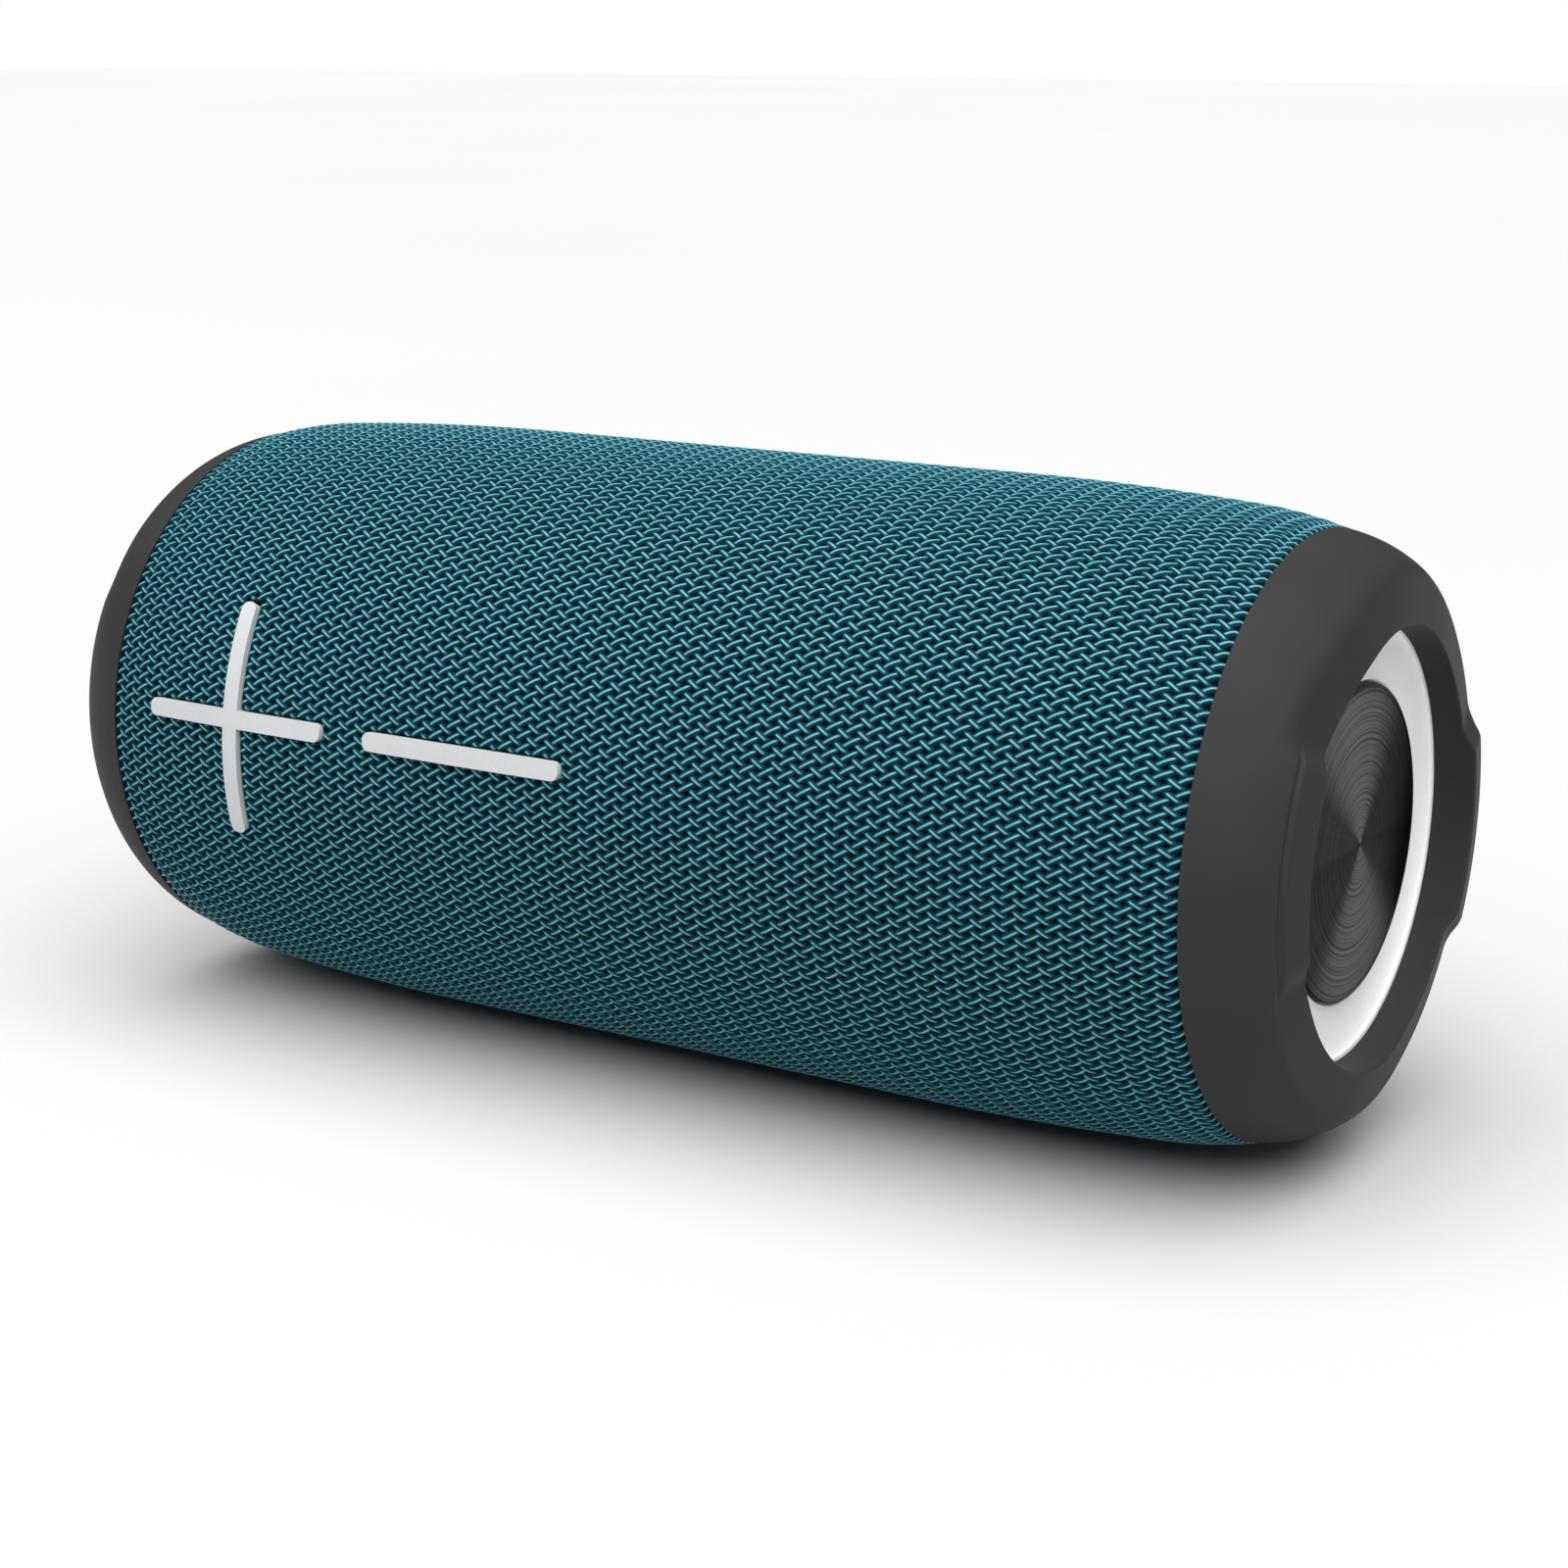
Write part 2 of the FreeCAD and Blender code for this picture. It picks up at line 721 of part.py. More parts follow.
# ---------------------------------------------------------------- full-range drivers
BAFFLE_TOP = "baffle_bottom + baffle_thickness"
FLANGE_BACK = f"{BAFFLE_TOP} + gasket_thickness"
BAFFLE_SCREWS = [(x, y) for x in ("-67", "0", "67") for y in ("-25.2", "25.2")]


def baffle_plate():
    body = new_body("baffle_plate")
    sketch = new_sketch(body, "XY_Plane", raised="baffle_bottom")
    rectangle(sketch, "-baffle_half_length", "baffle_half_length",
              "-baffle_half_width", "baffle_half_width")
    pad(body, sketch, "baffle_thickness")
    holes = new_sketch(body, "XY_Plane", raised=BAFFLE_TOP)
    for side in ("-1", "1"):
        circle(holes, f"{side} * driver_x", "0", "driver_hole")
        for x, y in driver_screw_places(f"{side} * driver_x"):
            circle(holes, x, y, "driver_pilot")
    for x, y in BAFFLE_SCREWS:
        circle(holes, x, y, "baffle_hole")
    pocket(body, holes)
    stand(body)


def driver_ring(label, side, corners):
    """A part turned about one driver's own upright axis."""
    body = new_body(f"{label}_{side}")
    sketch = new_sketch(body, "XZ_Plane")
    outline(sketch, corners)
    revolve(body, sketch, axis="V_Axis")
    stand(body, x="driver_x" if side == "right" else "-driver_x")
    return body


def driver(side):
    """Pressed basket, magnet stack, cone with its coil, and the two flexible rings that carry it."""
    gasket = driver_ring("driver_gasket", side, [
        ("driver_hole + 0.1", BAFFLE_TOP), ("driver_flange", BAFFLE_TOP),
        ("driver_flange", FLANGE_BACK), ("driver_hole + 0.1", FLANGE_BACK),
    ])
    drill_flange(gasket)
    basket = driver_ring("driver_basket", side, [
        ("basket_bore", "plate_top"), ("basket_foot", "plate_top"),
        ("basket_radius", "basket_waist"), ("basket_radius", FLANGE_BACK),
        ("driver_flange", FLANGE_BACK), ("driver_flange", f"{FLANGE_BACK} + basket_wall"),
        ("basket_radius - basket_wall", f"{FLANGE_BACK} + basket_wall"),
        ("basket_radius - basket_wall", "basket_waist + 0.5"),
        ("basket_foot - 0.4", "plate_top + basket_wall"), ("basket_bore", "plate_top + basket_wall"),
    ])
    drill_flange(basket)
    driver_ring("driver_top_plate", side, [
        ("plate_bore", "magnet_top"), ("magnet_radius - 0.8", "magnet_top"),
        ("magnet_radius - 0.8", "plate_top"), ("plate_bore", "plate_top"),
    ])
    driver_ring("driver_magnet", side, [
        ("magnet_bore", "magnet_bottom"), ("magnet_radius", "magnet_bottom"),
        ("magnet_radius", "magnet_top"), ("magnet_bore", "magnet_top"),
    ])
    driver_ring("driver_yoke", side, [
        ("0", "yoke_bottom"), ("magnet_radius - 0.8", "yoke_bottom"), ("magnet_radius - 0.8", "magnet_bottom"),
        ("pole_radius", "magnet_bottom"), ("pole_radius", "plate_top"), ("0", "plate_top"),
    ])
    driver_ring("voice_coil", side, [
        ("coil_inner", "coil_bottom"), ("coil_outer", "coil_bottom"),
        ("coil_outer", "coil_top"), ("coil_inner", "coil_top"),
    ])
    driver_ring("driver_cone", side, [
        ("7.3", "13.6"), ("18.2", "22.6"), ("18.2", "23.4"), ("8.4", "15.4"),
        ("4.6", "17.5"), ("0", "18.3"), ("0", "17.6"), ("4.4", "16.8"), ("7.3", "15.2"),
    ])
    driver_ring("driver_surround", side, [
        ("17.6", "23.5"), ("18.3", "23.5"), ("21.2", "25.6", "2.7", -1), ("22.5", "25.6"),
        ("22.5", "26.1"), ("21.0", "26.1"), ("17.6", "24.1", "3.2", 1),
    ])
    driver_ring("driver_spider", side, [
        ("7.4", "11.6"), ("9.4", "12.2"), ("11.4", "11.2"), ("13.4", "11.8"), ("15.8", "11.8"),
        ("15.8", "12.2"), ("13.2", "12.2"), ("11.4", "11.7"), ("9.4", "12.7"), ("7.4", "12.1"),
    ])


def driver_screw_places(centre_x):
    places = []
    for angle in END_SCREW_ANGLES:
        x = f"{centre_x} + {math.cos(math.radians(angle)):.6f} * driver_screw_circle"
        y = f"{math.sin(math.radians(angle)):.6f} * driver_screw_circle"
        places.append((x, y))
    return places


def drill_flange(body):
    holes = new_sketch(body, "XY_Plane", raised="body_radius")
    for x, y in driver_screw_places("0"):
        circle(holes, x, y, "flange_hole")
    pocket(body, holes)


def driver_screw_heads():
    top = f"{FLANGE_BACK} + basket_wall + 0.84"
    return [(x, y, top) for side in ("-1", "1") for x, y in driver_screw_places(f"{side} * driver_x")]


# ---------------------------------------------------------------- battery and electronics
BOARD_SCREWS = [(x, z) for x in ("-40.5", "40.5") for z in ("-12", "12")]
KEY_BOARD_SCREW_XS = ("-37", "3")
BOARD_BACK = "board_y + board_thickness"


def battery():
    for label, side in (("battery_cell_front", "-1"), ("battery_cell_rear", "1")):
        start = ("-cell_length / 2", f"{side} * cell_spread", "-cell_drop")
        keep(rod(start, "cell_radius", "cell_length", "x"), label)
    tray = block(("-36", "-2 * cell_spread - 1.4", "-cell_drop - cell_radius - 1.2"),
                 ("36", "2 * cell_spread + 1.4", "-cell_drop - 1.5"))
    hollows = [
        rod(("-cell_length / 2 - 0.6", f"{side} * cell_spread", "-cell_drop"),
            "cell_radius + 0.15", "cell_length + 1.2", "x")
        for side in ("-1", "1")
    ]
    keep(cut(tray, fused(hollows)), "battery_holder")


def main_board():
    plate = block(("-board_half_length", "board_y", "-board_half_height"),
                  ("board_half_length", BOARD_BACK, "board_half_height"))
    holes = [rod((x, "board_y - 1", z), "1.15", "board_thickness + 2", "y") for x, z in BOARD_SCREWS]
    keep(cut(plate, fused(holes)), "main_board")
    chips = [
        (("-12", "board_y - 1.2", "-4"), ("-3", "board_y", "5")),
        (("4", "board_y - 2.6", "-6"), ("18", "board_y", "8")),
        (("-30", "board_y - 4.2", "-9"), ("-22", "board_y", "-1")),
        (("-30", "board_y - 4.2", "2"), ("-22", "board_y", "10")),
        (("24", "board_y - 1.5", "-10"), ("31", "board_y", "-3")),
    ]
    cans = [rod((x, "board_y", "9.5"), "2.4", "5.5", "-y") for x in ("-16", "-9", "26")]
    keep(fused([block(*corners) for corners in chips] + cans), "board_components")


def sockets():
    """Charging socket and audio jack, mouths towards the rear."""
    outer = block(("port_x - 9.6", BOARD_BACK, "-1.65"), ("port_x - 0.6", "37.6", "1.65"))
    mouth = block(("port_x - 9.2", "33.4", "-1.25"), ("port_x - 1", "38", "1.25"))
    tongue = block(("port_x - 8.4", "33", "-0.35"), ("port_x - 1.8", "37.2", "0.35"))
    keep(fused([cut(outer, mouth), tongue]), "usb_socket")
    housing = block(("port_x + 1.6", BOARD_BACK, "-3"), ("port_x + 7.6", "36.2", "3"))
    barrel_end = rod(("port_x + 4.6", "36.2", "0"), "2.6", "1.4", "y")
    bore = rod(("port_x + 4.6", "33", "0"), "1.8", "6", "y")
    keep(cut(fused([housing, barrel_end]), bore), "aux_jack")


# ---------------------------------------------------------------- rear controls
REAR_KEYS = {"power_key": "rear_key_first", "play_key": "rear_key_first + rear_key_pitch",
             "mode_key": "rear_key_first + 2 * rear_key_pitch"}
PANEL_FACE = "body_radius + panel_proud"
PANEL_FLANGE_BACK = "36.7"
PANEL_INNER = "39.0"


def sector(body, low_x, high_x, low_radius, high_radius, angle, rear=True):
    """A curved slab about the barrel's axis, centred on the front or the rear."""
    sketch = new_sketch(body, "XY_Plane")
    sign = "1" if rear else "-1"
    rectangle(sketch, low_x, high_x, f"{sign} * ({low_radius})", f"{sign} * ({high_radius})")
    return revolve(body, sketch, angle=angle, both_ways=True)


def rear_panel():
    body = new_body("rear_panel")
    sector(body, "-panel_half_length", "panel_half_length", PANEL_FLANGE_BACK, PANEL_FACE,
           "2 * panel_half_angle")
    for x in REAR_KEYS.values():
        hole = circle(new_sketch(body, "XZ_Plane"), x, "0", "rear_key_radius + running_gap")
        pocket(body, hole)
    light = circle(new_sketch(body, "XZ_Plane"), "8.2", "0", "1.1")
    pocket(body, light)
    well = new_sketch(body, "XZ_Plane", raised=f"-({PANEL_INNER})")
    rectangle(well, "port_x - port_half_length - running_gap", "port_x + port_half_length + running_gap",
              "-port_half_height - 1.3", "port_half_height + running_gap")
    pocket(body, well)
    mouths = new_sketch(body, "XZ_Plane")
    rectangle(mouths, "port_x - 10.2", "port_x", "-2.3", "2.3")
    circle(mouths, "port_x + 4.6", "0", "3.2")
    pocket(body, mouths)
    stand(body)


def rear_keys():
    for label, x in REAR_KEYS.items():
        cap = rod((x, "35.8", "0"), "rear_key_radius", f"{PANEL_FACE} - 35.8 - 0.4", "y")
        collar = rod((x, "35.2", "0"), "rear_collar_radius", "0.8", "y")
        stem = rod((x, "33.8", "0"), "rear_stem_radius", "3", "y")
        keep(fused([cap, collar, stem]), label)
    domes = [rod((x, BOARD_BACK, "0"), "dome_radius", "rear_dome_height", "y") for x in REAR_KEYS.values()]
    keep(fused(domes), "rear_switches")
    keep(rod(("8.2", f"{BOARD_BACK} + 0.3", "0"), "0.95", "9.4", "y"), "status_light")


def port_cover():
    """Rubber flap that turns on a rolled lower edge, with two shallow plugs behind it."""
    body = new_body("port_cover")
    flap = new_sketch(body, "XZ_Plane", raised="-(body_radius - 1.5)")
    rectangle(flap, "port_x - port_half_length", "port_x + port_half_length",
              "-port_half_height", "port_half_height")
    pad(body, flap, "1.3", reverse=True)
    for low, high, height in (("port_x - 9.5", "port_x - 0.7", "1.6"),
                              ("port_x + 2.7", "port_x + 6.5", "1.9")):
        plug = new_sketch(body, "XZ_Plane", raised="-(body_radius - 1.5)")
        rectangle(plug, low, high, f"-{height}", height)
        pad(body, plug, "0.9")
    pull = new_sketch(body, "XZ_Plane", raised="-(body_radius - 0.4)")
    rectangle(pull, "port_x - 4", "port_x + 4", "port_half_height - 1.6", "port_half_height - 0.6")
    pad(body, pull, "0.7", reverse=True)
    for shape in ("neck", "roll"):
        edge = new_sketch(body, "YZ_Plane", raised="port_x - cover_hinge_half")
        if shape == "neck":
            rectangle(edge, "cover_hinge_y - 0.3", "cover_hinge_y - 0.1",
                      "cover_hinge_z", "0.3 - port_half_height")
        else:
            circle(edge, "cover_hinge_y", "cover_hinge_z", "cover_hinge_radius")
        pad(body, edge, "2 * cover_hinge_half")
    stand(body)


# ---------------------------------------------------------------- volume keys
KEY_FOOT = "34.9"
KEY_BACK = "36.6"
KEY_CENTRES = {"plus_key": "plus_cross_x", "minus_key": "(minus_start + minus_end) / 2"}


def round_key_ends(body):
    """Rounds the upright edges at the ends of a key's bars."""
    shape = body.Shape
    names = []
    for index, edge in enumerate(shape.Edges, start=1):
        if edge.Curve.TypeId != "Part::GeomLine":
            continue
        start, end = edge.Vertexes[0].Point, edge.Vertexes[-1].Point
        radial = abs(math.hypot(start.y, start.z) - math.hypot(end.y, end.z))
        if radial > 3 and abs(start.x - end.x) < 0.01:
            names.append(f"Edge{index}")
    ends = []
    for name in names:
        point = shape.getElement(name).CenterOfMass
        crossing = abs(point.x - number("plus_cross_x")) < 2 and abs(point.z) < 2
        if not crossing:
            ends.append(name)
    round_edges(body, ends, "key_end_round")


def key_face(x):
    """The radius of a key's outer face at x, a little proud of the fabric, which falls away outboard."""
    outboard = f"max(-({x}) - flat_half; 0)"
    return f"body_radius + key_proud - ({outboard})^2 / (2 * belly_arc)"


def key_bar_outline(body, low_x, high_x):
    sketch = new_sketch(body, "XY_Plane")
    outline(sketch, [
        (low_x, f"-({KEY_BACK})"), (low_x, f"-({key_face(low_x)})"),
        (high_x, f"-({key_face(high_x)})", "belly_arc", -1), (high_x, f"-({KEY_BACK})"),
    ])
    return sketch


def volume_key(label, low_x, high_x):
    body = new_body(label)
    bar_angle = "key_bar / body_radius * 180 / pi"
    revolve(body, key_bar_outline(body, low_x, high_x), angle=bar_angle, both_ways=True)
    if label == "plus_key":
        crossing = key_bar_outline(body, "plus_cross_x - key_bar / 2", "plus_cross_x + key_bar / 2")
        revolve(body, crossing, angle="plus_cross_angle", both_ways=True)
    round_key_ends(body)
    centre = KEY_CENTRES[label]
    flange = new_sketch(body, "XZ_Plane", raised=f"{KEY_BACK} - 1.2")
    rectangle(flange, f"{centre} - key_flange_half", f"{centre} + key_flange_half",
              "-key_flange_rise", "key_flange_rise")
    pad(body, flange, "1.3")
    stem = new_sketch(body, "XZ_Plane", raised=KEY_FOOT)
    circle(stem, centre, "0", "key_stem_radius")
    pad(body, stem, "1.2")
    stand(body, turn=Rotation(Vector(1, 0, 0), -number("front_lift")))


def key_board():
    body = new_body("key_board")
    plate = new_sketch(body, "XZ_Plane", raised="-key_board_y")
    rectangle(plate, "key_board_start", "key_board_end", "-key_board_half_height", "key_board_half_height")
    pad(body, plate, "key_board_thickness")
    holes = new_sketch(body, "XZ_Plane", raised="-key_board_y")
    for x in KEY_BOARD_SCREW_XS:
        circle(holes, x, "0", "key_board_hole")
    pocket(body, holes, reverse=True)
    stand(body, turn=Rotation(Vector(1, 0, 0), -number("front_lift")))
    domes = [
        rod((centre, "key_board_y - key_board_thickness", "0"), "dome_radius", "key_dome_height", "-y",
            lift=-number("front_lift"))
        for centre in KEY_CENTRES.values()
    ]
    keep(fused(domes), "key_switches")


def foot_rail():
    body = new_body("foot_rail")
    sketch = new_sketch(body, "XY_Plane", raised="-(body_radius + foot_standoff)")
    rectangle(sketch, "-foot_half_length", "foot_half_length", "-foot_half_width", "foot_half_width")
    pad(body, sketch, "foot_depth")
    corners = [
        f"Edge{index}" for index, edge in enumerate(body.Shape.Edges, start=1)
        if abs(edge.Vertexes[0].Point.z - edge.Vertexes[-1].Point.z) > 1
    ]
    round_edges(body, corners, "foot_half_width * 0.9")
    stand(body)


# ---------------------------------------------------------------- assembly
def build_all():
    fabric_sleeve()
    shell_half("front_shell", front=True)
    shell_half("rear_shell", front=False)
    screw_group("shell_screws",
                [(x, "-9.2", z) for x in SHELL_SCREW_XS for z in (SHELL_SCREW_Z, f"-{SHELL_SCREW_Z}")],
                "y", "1.0", "17")
    for side in ("left", "right"):
        end_cap(side)
        radiator_frame(side)
        radiator_parts(side)
        driver(side)
    frame_screws()
    baffle_plate()
    screw_group("baffle_screws", [(x, y, f"{BAFFLE_TOP} + 1") for x, y in BAFFLE_SCREWS],
                "-z", "0.8", "6")
    screw_group("driver_screws", driver_screw_heads(), "-z", "0.7", "4.4")
    battery()
    main_board()
    screw_group("board_screws", [(x, "board_y - 1.2", z) for x, z in BOARD_SCREWS], "y", "0.95", "6")
    sockets()
    rear_panel()
    rear_keys()
    port_cover()
    volume_key("plus_key", "plus_start", "plus_end")
    volume_key("minus_key", "minus_start", "minus_end")
    key_board()
    screw_group("key_board_screws", [(x, "key_board_y + 1", "0") for x in KEY_BOARD_SCREW_XS],
                "-y", "0.8", "6", lift=-number("front_lift"))
    foot_rail()
    document.recompute()


def check_all():
    failed = [item.Label for item in document.Objects
              if "Invalid" in item.State or "Error" in item.State]
    if failed:
        raise RuntimeError(f"failed objects: {failed}")
    for node in nodes:
        shape = node.Shape
        if shape.isNull() or not shape.isValid() or shape.Volume <= 0:
            raise RuntimeError(f"{node.Label} has no sound shape")


def export_all():
    os.makedirs("parts", exist_ok=True)
    for node in nodes:
        shape = node.Shape
        print(f"{node.Label:24s} solids {len(shape.Solids):2d}  volume {shape.Volume:10.1f} mm3")
        shape.exportStep(f"parts/{node.Label}.step")


build_all()
check_all()
export_all()
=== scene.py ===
"""Portable bluetooth speaker: woven barrel, soft-touch end caps, spun radiators and white keys.

Everything is in metres in the CAD frame: +X along the barrel to the right-hand end, the front
and its volume keys towards -Y, the supporting surface at z = 0.
"""
import json
import math

import bpy
import numpy as np
from mathutils import Matrix, Vector


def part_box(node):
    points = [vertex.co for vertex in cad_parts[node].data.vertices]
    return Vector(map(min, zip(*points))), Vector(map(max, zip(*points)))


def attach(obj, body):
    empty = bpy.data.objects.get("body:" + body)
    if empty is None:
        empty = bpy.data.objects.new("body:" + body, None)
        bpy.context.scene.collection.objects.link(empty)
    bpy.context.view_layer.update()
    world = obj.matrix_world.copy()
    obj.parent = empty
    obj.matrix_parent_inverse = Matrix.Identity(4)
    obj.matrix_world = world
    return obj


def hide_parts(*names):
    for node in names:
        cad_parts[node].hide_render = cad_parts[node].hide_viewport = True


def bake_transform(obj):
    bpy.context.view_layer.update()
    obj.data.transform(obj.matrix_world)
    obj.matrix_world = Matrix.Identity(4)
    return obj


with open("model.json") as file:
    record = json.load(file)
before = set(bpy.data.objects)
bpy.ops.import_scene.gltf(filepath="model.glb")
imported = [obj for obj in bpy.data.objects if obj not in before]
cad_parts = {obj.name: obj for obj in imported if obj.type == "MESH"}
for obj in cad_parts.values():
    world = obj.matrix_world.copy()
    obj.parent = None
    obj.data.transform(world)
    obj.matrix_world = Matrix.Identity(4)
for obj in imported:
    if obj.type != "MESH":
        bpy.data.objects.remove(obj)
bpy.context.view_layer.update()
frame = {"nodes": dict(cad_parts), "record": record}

MM = 0.001
disc_low, disc_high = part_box("radiator_disc_right")
AXIS_Z = (disc_low.z + disc_high.z) / 2 / MM
FRONT_LIFT = math.radians(8)

# Outline of the barrel in mm, as (x, radius) points joined by a straight line and two arcs.
BODY_RADIUS = 41.0
FLAT_HALF = 36.9
KNEE = (70.5, 39.74)
FABRIC_EDGE = (80.9, 37.8)
BELLY_ARC = 440.0
SHOULDER_ARC = 51.0

# The weave in mm: one repeat along the axis, and a whole number of repeats round the barrel.
# Yarns run along both diagonals of a repeat and cross at every whole number of steps. The section
# gives how far a yarn's surface drops at each distance from its middle line.
REPEAT_ALONG = 2.77
REPEATS_ROUND = 153
YARN_LINES = np.array([0.0, 0.13, 0.31, 0.50, 0.69, 0.87])
YARN_RISE = 0.12
FALLING_BIAS = 0.03
YARN_SECTION = ((0.0, 0.07, 0.13, 0.31, 0.5), (0.0, -0.02, -0.08, -0.30, -0.46))
FABRIC_END = 81.5
TUCK_START = 80.5
TUCK_SLOPE = 1.1
YARN_DRIFT = 0.02
DRIFT_SEED = 7
STRIPS = 8
FLAT_SHARE = 0.94
FLAT_MARGIN = 0.006
BACKING_DEPTH = 0.78
BACKING_SHORT = 0.4
BACKING_STATIONS = 201
BACKING_STEPS = 320

# Windows in the cloth, in mm: round-ended bars for the keys, and boxes given by half length,
# half height and corner radius for the rear panel and the foot.
KEY_BAR = 2.5
PLUS_X = (-71.9, -40.8)
PLUS_CROSS_X = -56.8
PLUS_CROSS_HALF = math.radians(22.5) * BODY_RADIUS
MINUS_X = (-33.5, -2.1)
KEY_GAP = 0.22
CROSS_END_GAP = 0.62
PANEL_WINDOW = (38.2, 9.5, 0.5)
FOOT_WINDOW = (35.2, 4.8, 4.3)
CUT_EDGE_HEIGHT = -0.25
SKIRT_DROP = 0.6
SLOPE_STEP = 0.01
LEAST_SLOPE = 0.25


# ---------------------------------------------------------------- meshes
def mesh_piece(name, points, faces, material, smooth=True):
    """A mesh object from points in mm and an array of quads or a list of polygons."""
    mesh = bpy.data.meshes.new(name)
    points = np.asarray(points, float).reshape(-1, 3) * MM
    if isinstance(faces, np.ndarray):
        count, sides = faces.shape
        mesh.vertices.add(len(points))
        mesh.vertices.foreach_set("co", points.astype(np.float32).ravel())
        mesh.loops.add(count * sides)
        mesh.loops.foreach_set("vertex_index", faces.astype(np.int32).ravel())
        mesh.polygons.add(count)
        mesh.polygons.foreach_set("loop_start", np.arange(0, count * sides, sides, dtype=np.int32))
        mesh.update(calc_edges=True)
    else:
        mesh.from_pydata([tuple(p) for p in points], [], faces)
    if smooth:
        mesh.shade_smooth()
    mesh.materials.append(material)
    piece = bpy.data.objects.new(name, mesh)
    bpy.context.scene.collection.objects.link(piece)
    return piece


def grid_faces(rows, columns, close_rows=False, close_columns=False):
    """Quads over a grid of points stored row by row."""
    i = np.arange(rows if close_rows else rows - 1)
    j = np.arange(columns if close_columns else columns - 1)
    i, j = (a.ravel() for a in np.meshgrid(i, j, indexing="ij"))
    next_i, next_j = (i + 1) % rows, (j + 1) % columns
    return np.stack([i * columns + j, i * columns + next_j,
                     next_i * columns + next_j, next_i * columns + j], 1)


def wrapped(angle):
    """The same angle between minus and plus half a turn."""
    return (angle + math.pi) % (2 * math.pi) - math.pi


def around(x, radius, angle, lift=0.0):
    """Points in mm at an angle measured from straight up towards the front, about the barrel's axis."""
    x, radius, angle = np.broadcast_arrays(x, radius, np.asarray(angle, float) - lift)
    return np.stack([x, -radius * np.sin(angle), AXIS_Z + radius * np.cos(angle)], -1)


def arc_between(x, start, end, radius):
    """Radius at x on the outward arc of the given radius from one outline point to the next."""
    chord = np.array(end) - np.array(start)
    length = np.hypot(*chord)
    inward = np.array([chord[1], -chord[0]]) / length
    centre = (np.array(start) + np.array(end)) / 2 + inward * math.sqrt(radius ** 2 - length ** 2 / 4)
    return centre[1] + np.sqrt(np.maximum(radius ** 2 - (x - centre[0]) ** 2, 0))


def barrel_radius(x):
    """Radius in mm of the cloth's outer face, straight in the middle and curving in towards both ends."""
    x = np.abs(x)
    belly = arc_between(x, (FLAT_HALF, BODY_RADIUS), KNEE, BELLY_ARC)
    shoulder = arc_between(x, KNEE, FABRIC_EDGE, SHOULDER_ARC)
    return np.where(x <= FLAT_HALF, BODY_RADIUS, np.where(x <= KNEE[0], belly, shoulder))


# ---------------------------------------------------------------- windows in the cloth
def capsule(x, s, low, high, half_width):
    """Signed distance in mm from a round-ended bar along x."""
    inner = np.clip(x, low + half_width, high - half_width)
    return np.hypot(x - inner, s) - half_width


def rounded_box(x, s, half_x, half_s, corner):
    """Signed distance in mm from a box with round corners, centred on x = 0."""
    dx = np.abs(x) - (half_x - corner)
    ds = np.abs(s) - (half_s - corner)
    outside = np.hypot(np.maximum(dx, 0), np.maximum(ds, 0))
    return outside + np.minimum(np.maximum(dx, ds), 0) - corner


def window_distance(x, angle):
    """Distance in mm to the nearest window of the cloth, negative inside one."""
    s = wrapped(angle - (math.pi / 2 - FRONT_LIFT)) * BODY_RADIUS
    half = KEY_BAR / 2 + KEY_GAP
    keys = np.minimum(
        capsule(x, s, PLUS_X[0] - KEY_GAP, PLUS_X[1] + KEY_GAP, half),
        capsule(x, s, MINUS_X[0] - KEY_GAP, MINUS_X[1] + KEY_GAP, half),
    )
    cross_half = PLUS_CROSS_HALF + CROSS_END_GAP
    cross = capsule(s, x - PLUS_CROSS_X, -cross_half, cross_half, half)
    behind = wrapped(angle + math.pi / 2)
    panel = rounded_box(x, behind * BODY_RADIUS, *PANEL_WINDOW)
    below = angle % (2 * math.pi) - math.pi
    foot = rounded_box(x, below * BODY_RADIUS, *FOOT_WINDOW)
    return np.minimum(np.minimum(keys, cross), np.minimum(panel, foot))


def cut_windows(x, angle, height, faces, rim):
    """Drops the faces in the windows, draws the cut edge onto each outline, and turns it down."""
    centre_x = x[faces].mean(1)
    spread = angle[faces]
    centre_angle = spread[:, 0] + wrapped(spread - spread[:, :1]).mean(1)
    inside = window_distance(centre_x, centre_angle) < 0
    kept = faces[~inside]
    edge = np.intersect1d(np.unique(faces[inside]), np.unique(kept))
    turn = SLOPE_STEP / BODY_RADIUS
    for _ in range(3):
        ex, ea = x[edge], angle[edge]
        distance = window_distance(ex, ea)
        ahead_x, behind_x = (window_distance(ex + step, ea) for step in (SLOPE_STEP, -SLOPE_STEP))
        ahead_s, behind_s = (window_distance(ex, ea + step) for step in (turn, -turn))
        slope_x = (ahead_x - behind_x) / (2 * SLOPE_STEP)
        slope_s = (ahead_s - behind_s) / (2 * SLOPE_STEP)
        size = np.maximum(slope_x ** 2 + slope_s ** 2, LEAST_SLOPE)
        x[edge] -= distance * slope_x / size
        angle[edge] -= distance * slope_s / size / BODY_RADIUS
    height[edge] = rim
    sides = np.concatenate([kept[:, [k, (k + 1) % 4]] for k in range(4)])
    ordered = np.sort(sides, 1)
    _, first, counts = np.unique(ordered, axis=0, return_index=True, return_counts=True)
    border = sides[first[counts == 1]]
    border = border[np.isin(border, edge).all(1)]
    lower = {old: len(x) + k for k, old in enumerate(edge)}
    x = np.concatenate([x, x[edge]])
    angle = np.concatenate([angle, angle[edge]])
    height = np.concatenate([height, np.full(len(edge), rim - SKIRT_DROP)])
    skirt = np.array([[b, a, lower[a], lower[b]] for a, b in border], int)
    return x, angle, height, np.concatenate([kept, skirt]) if len(skirt) else kept


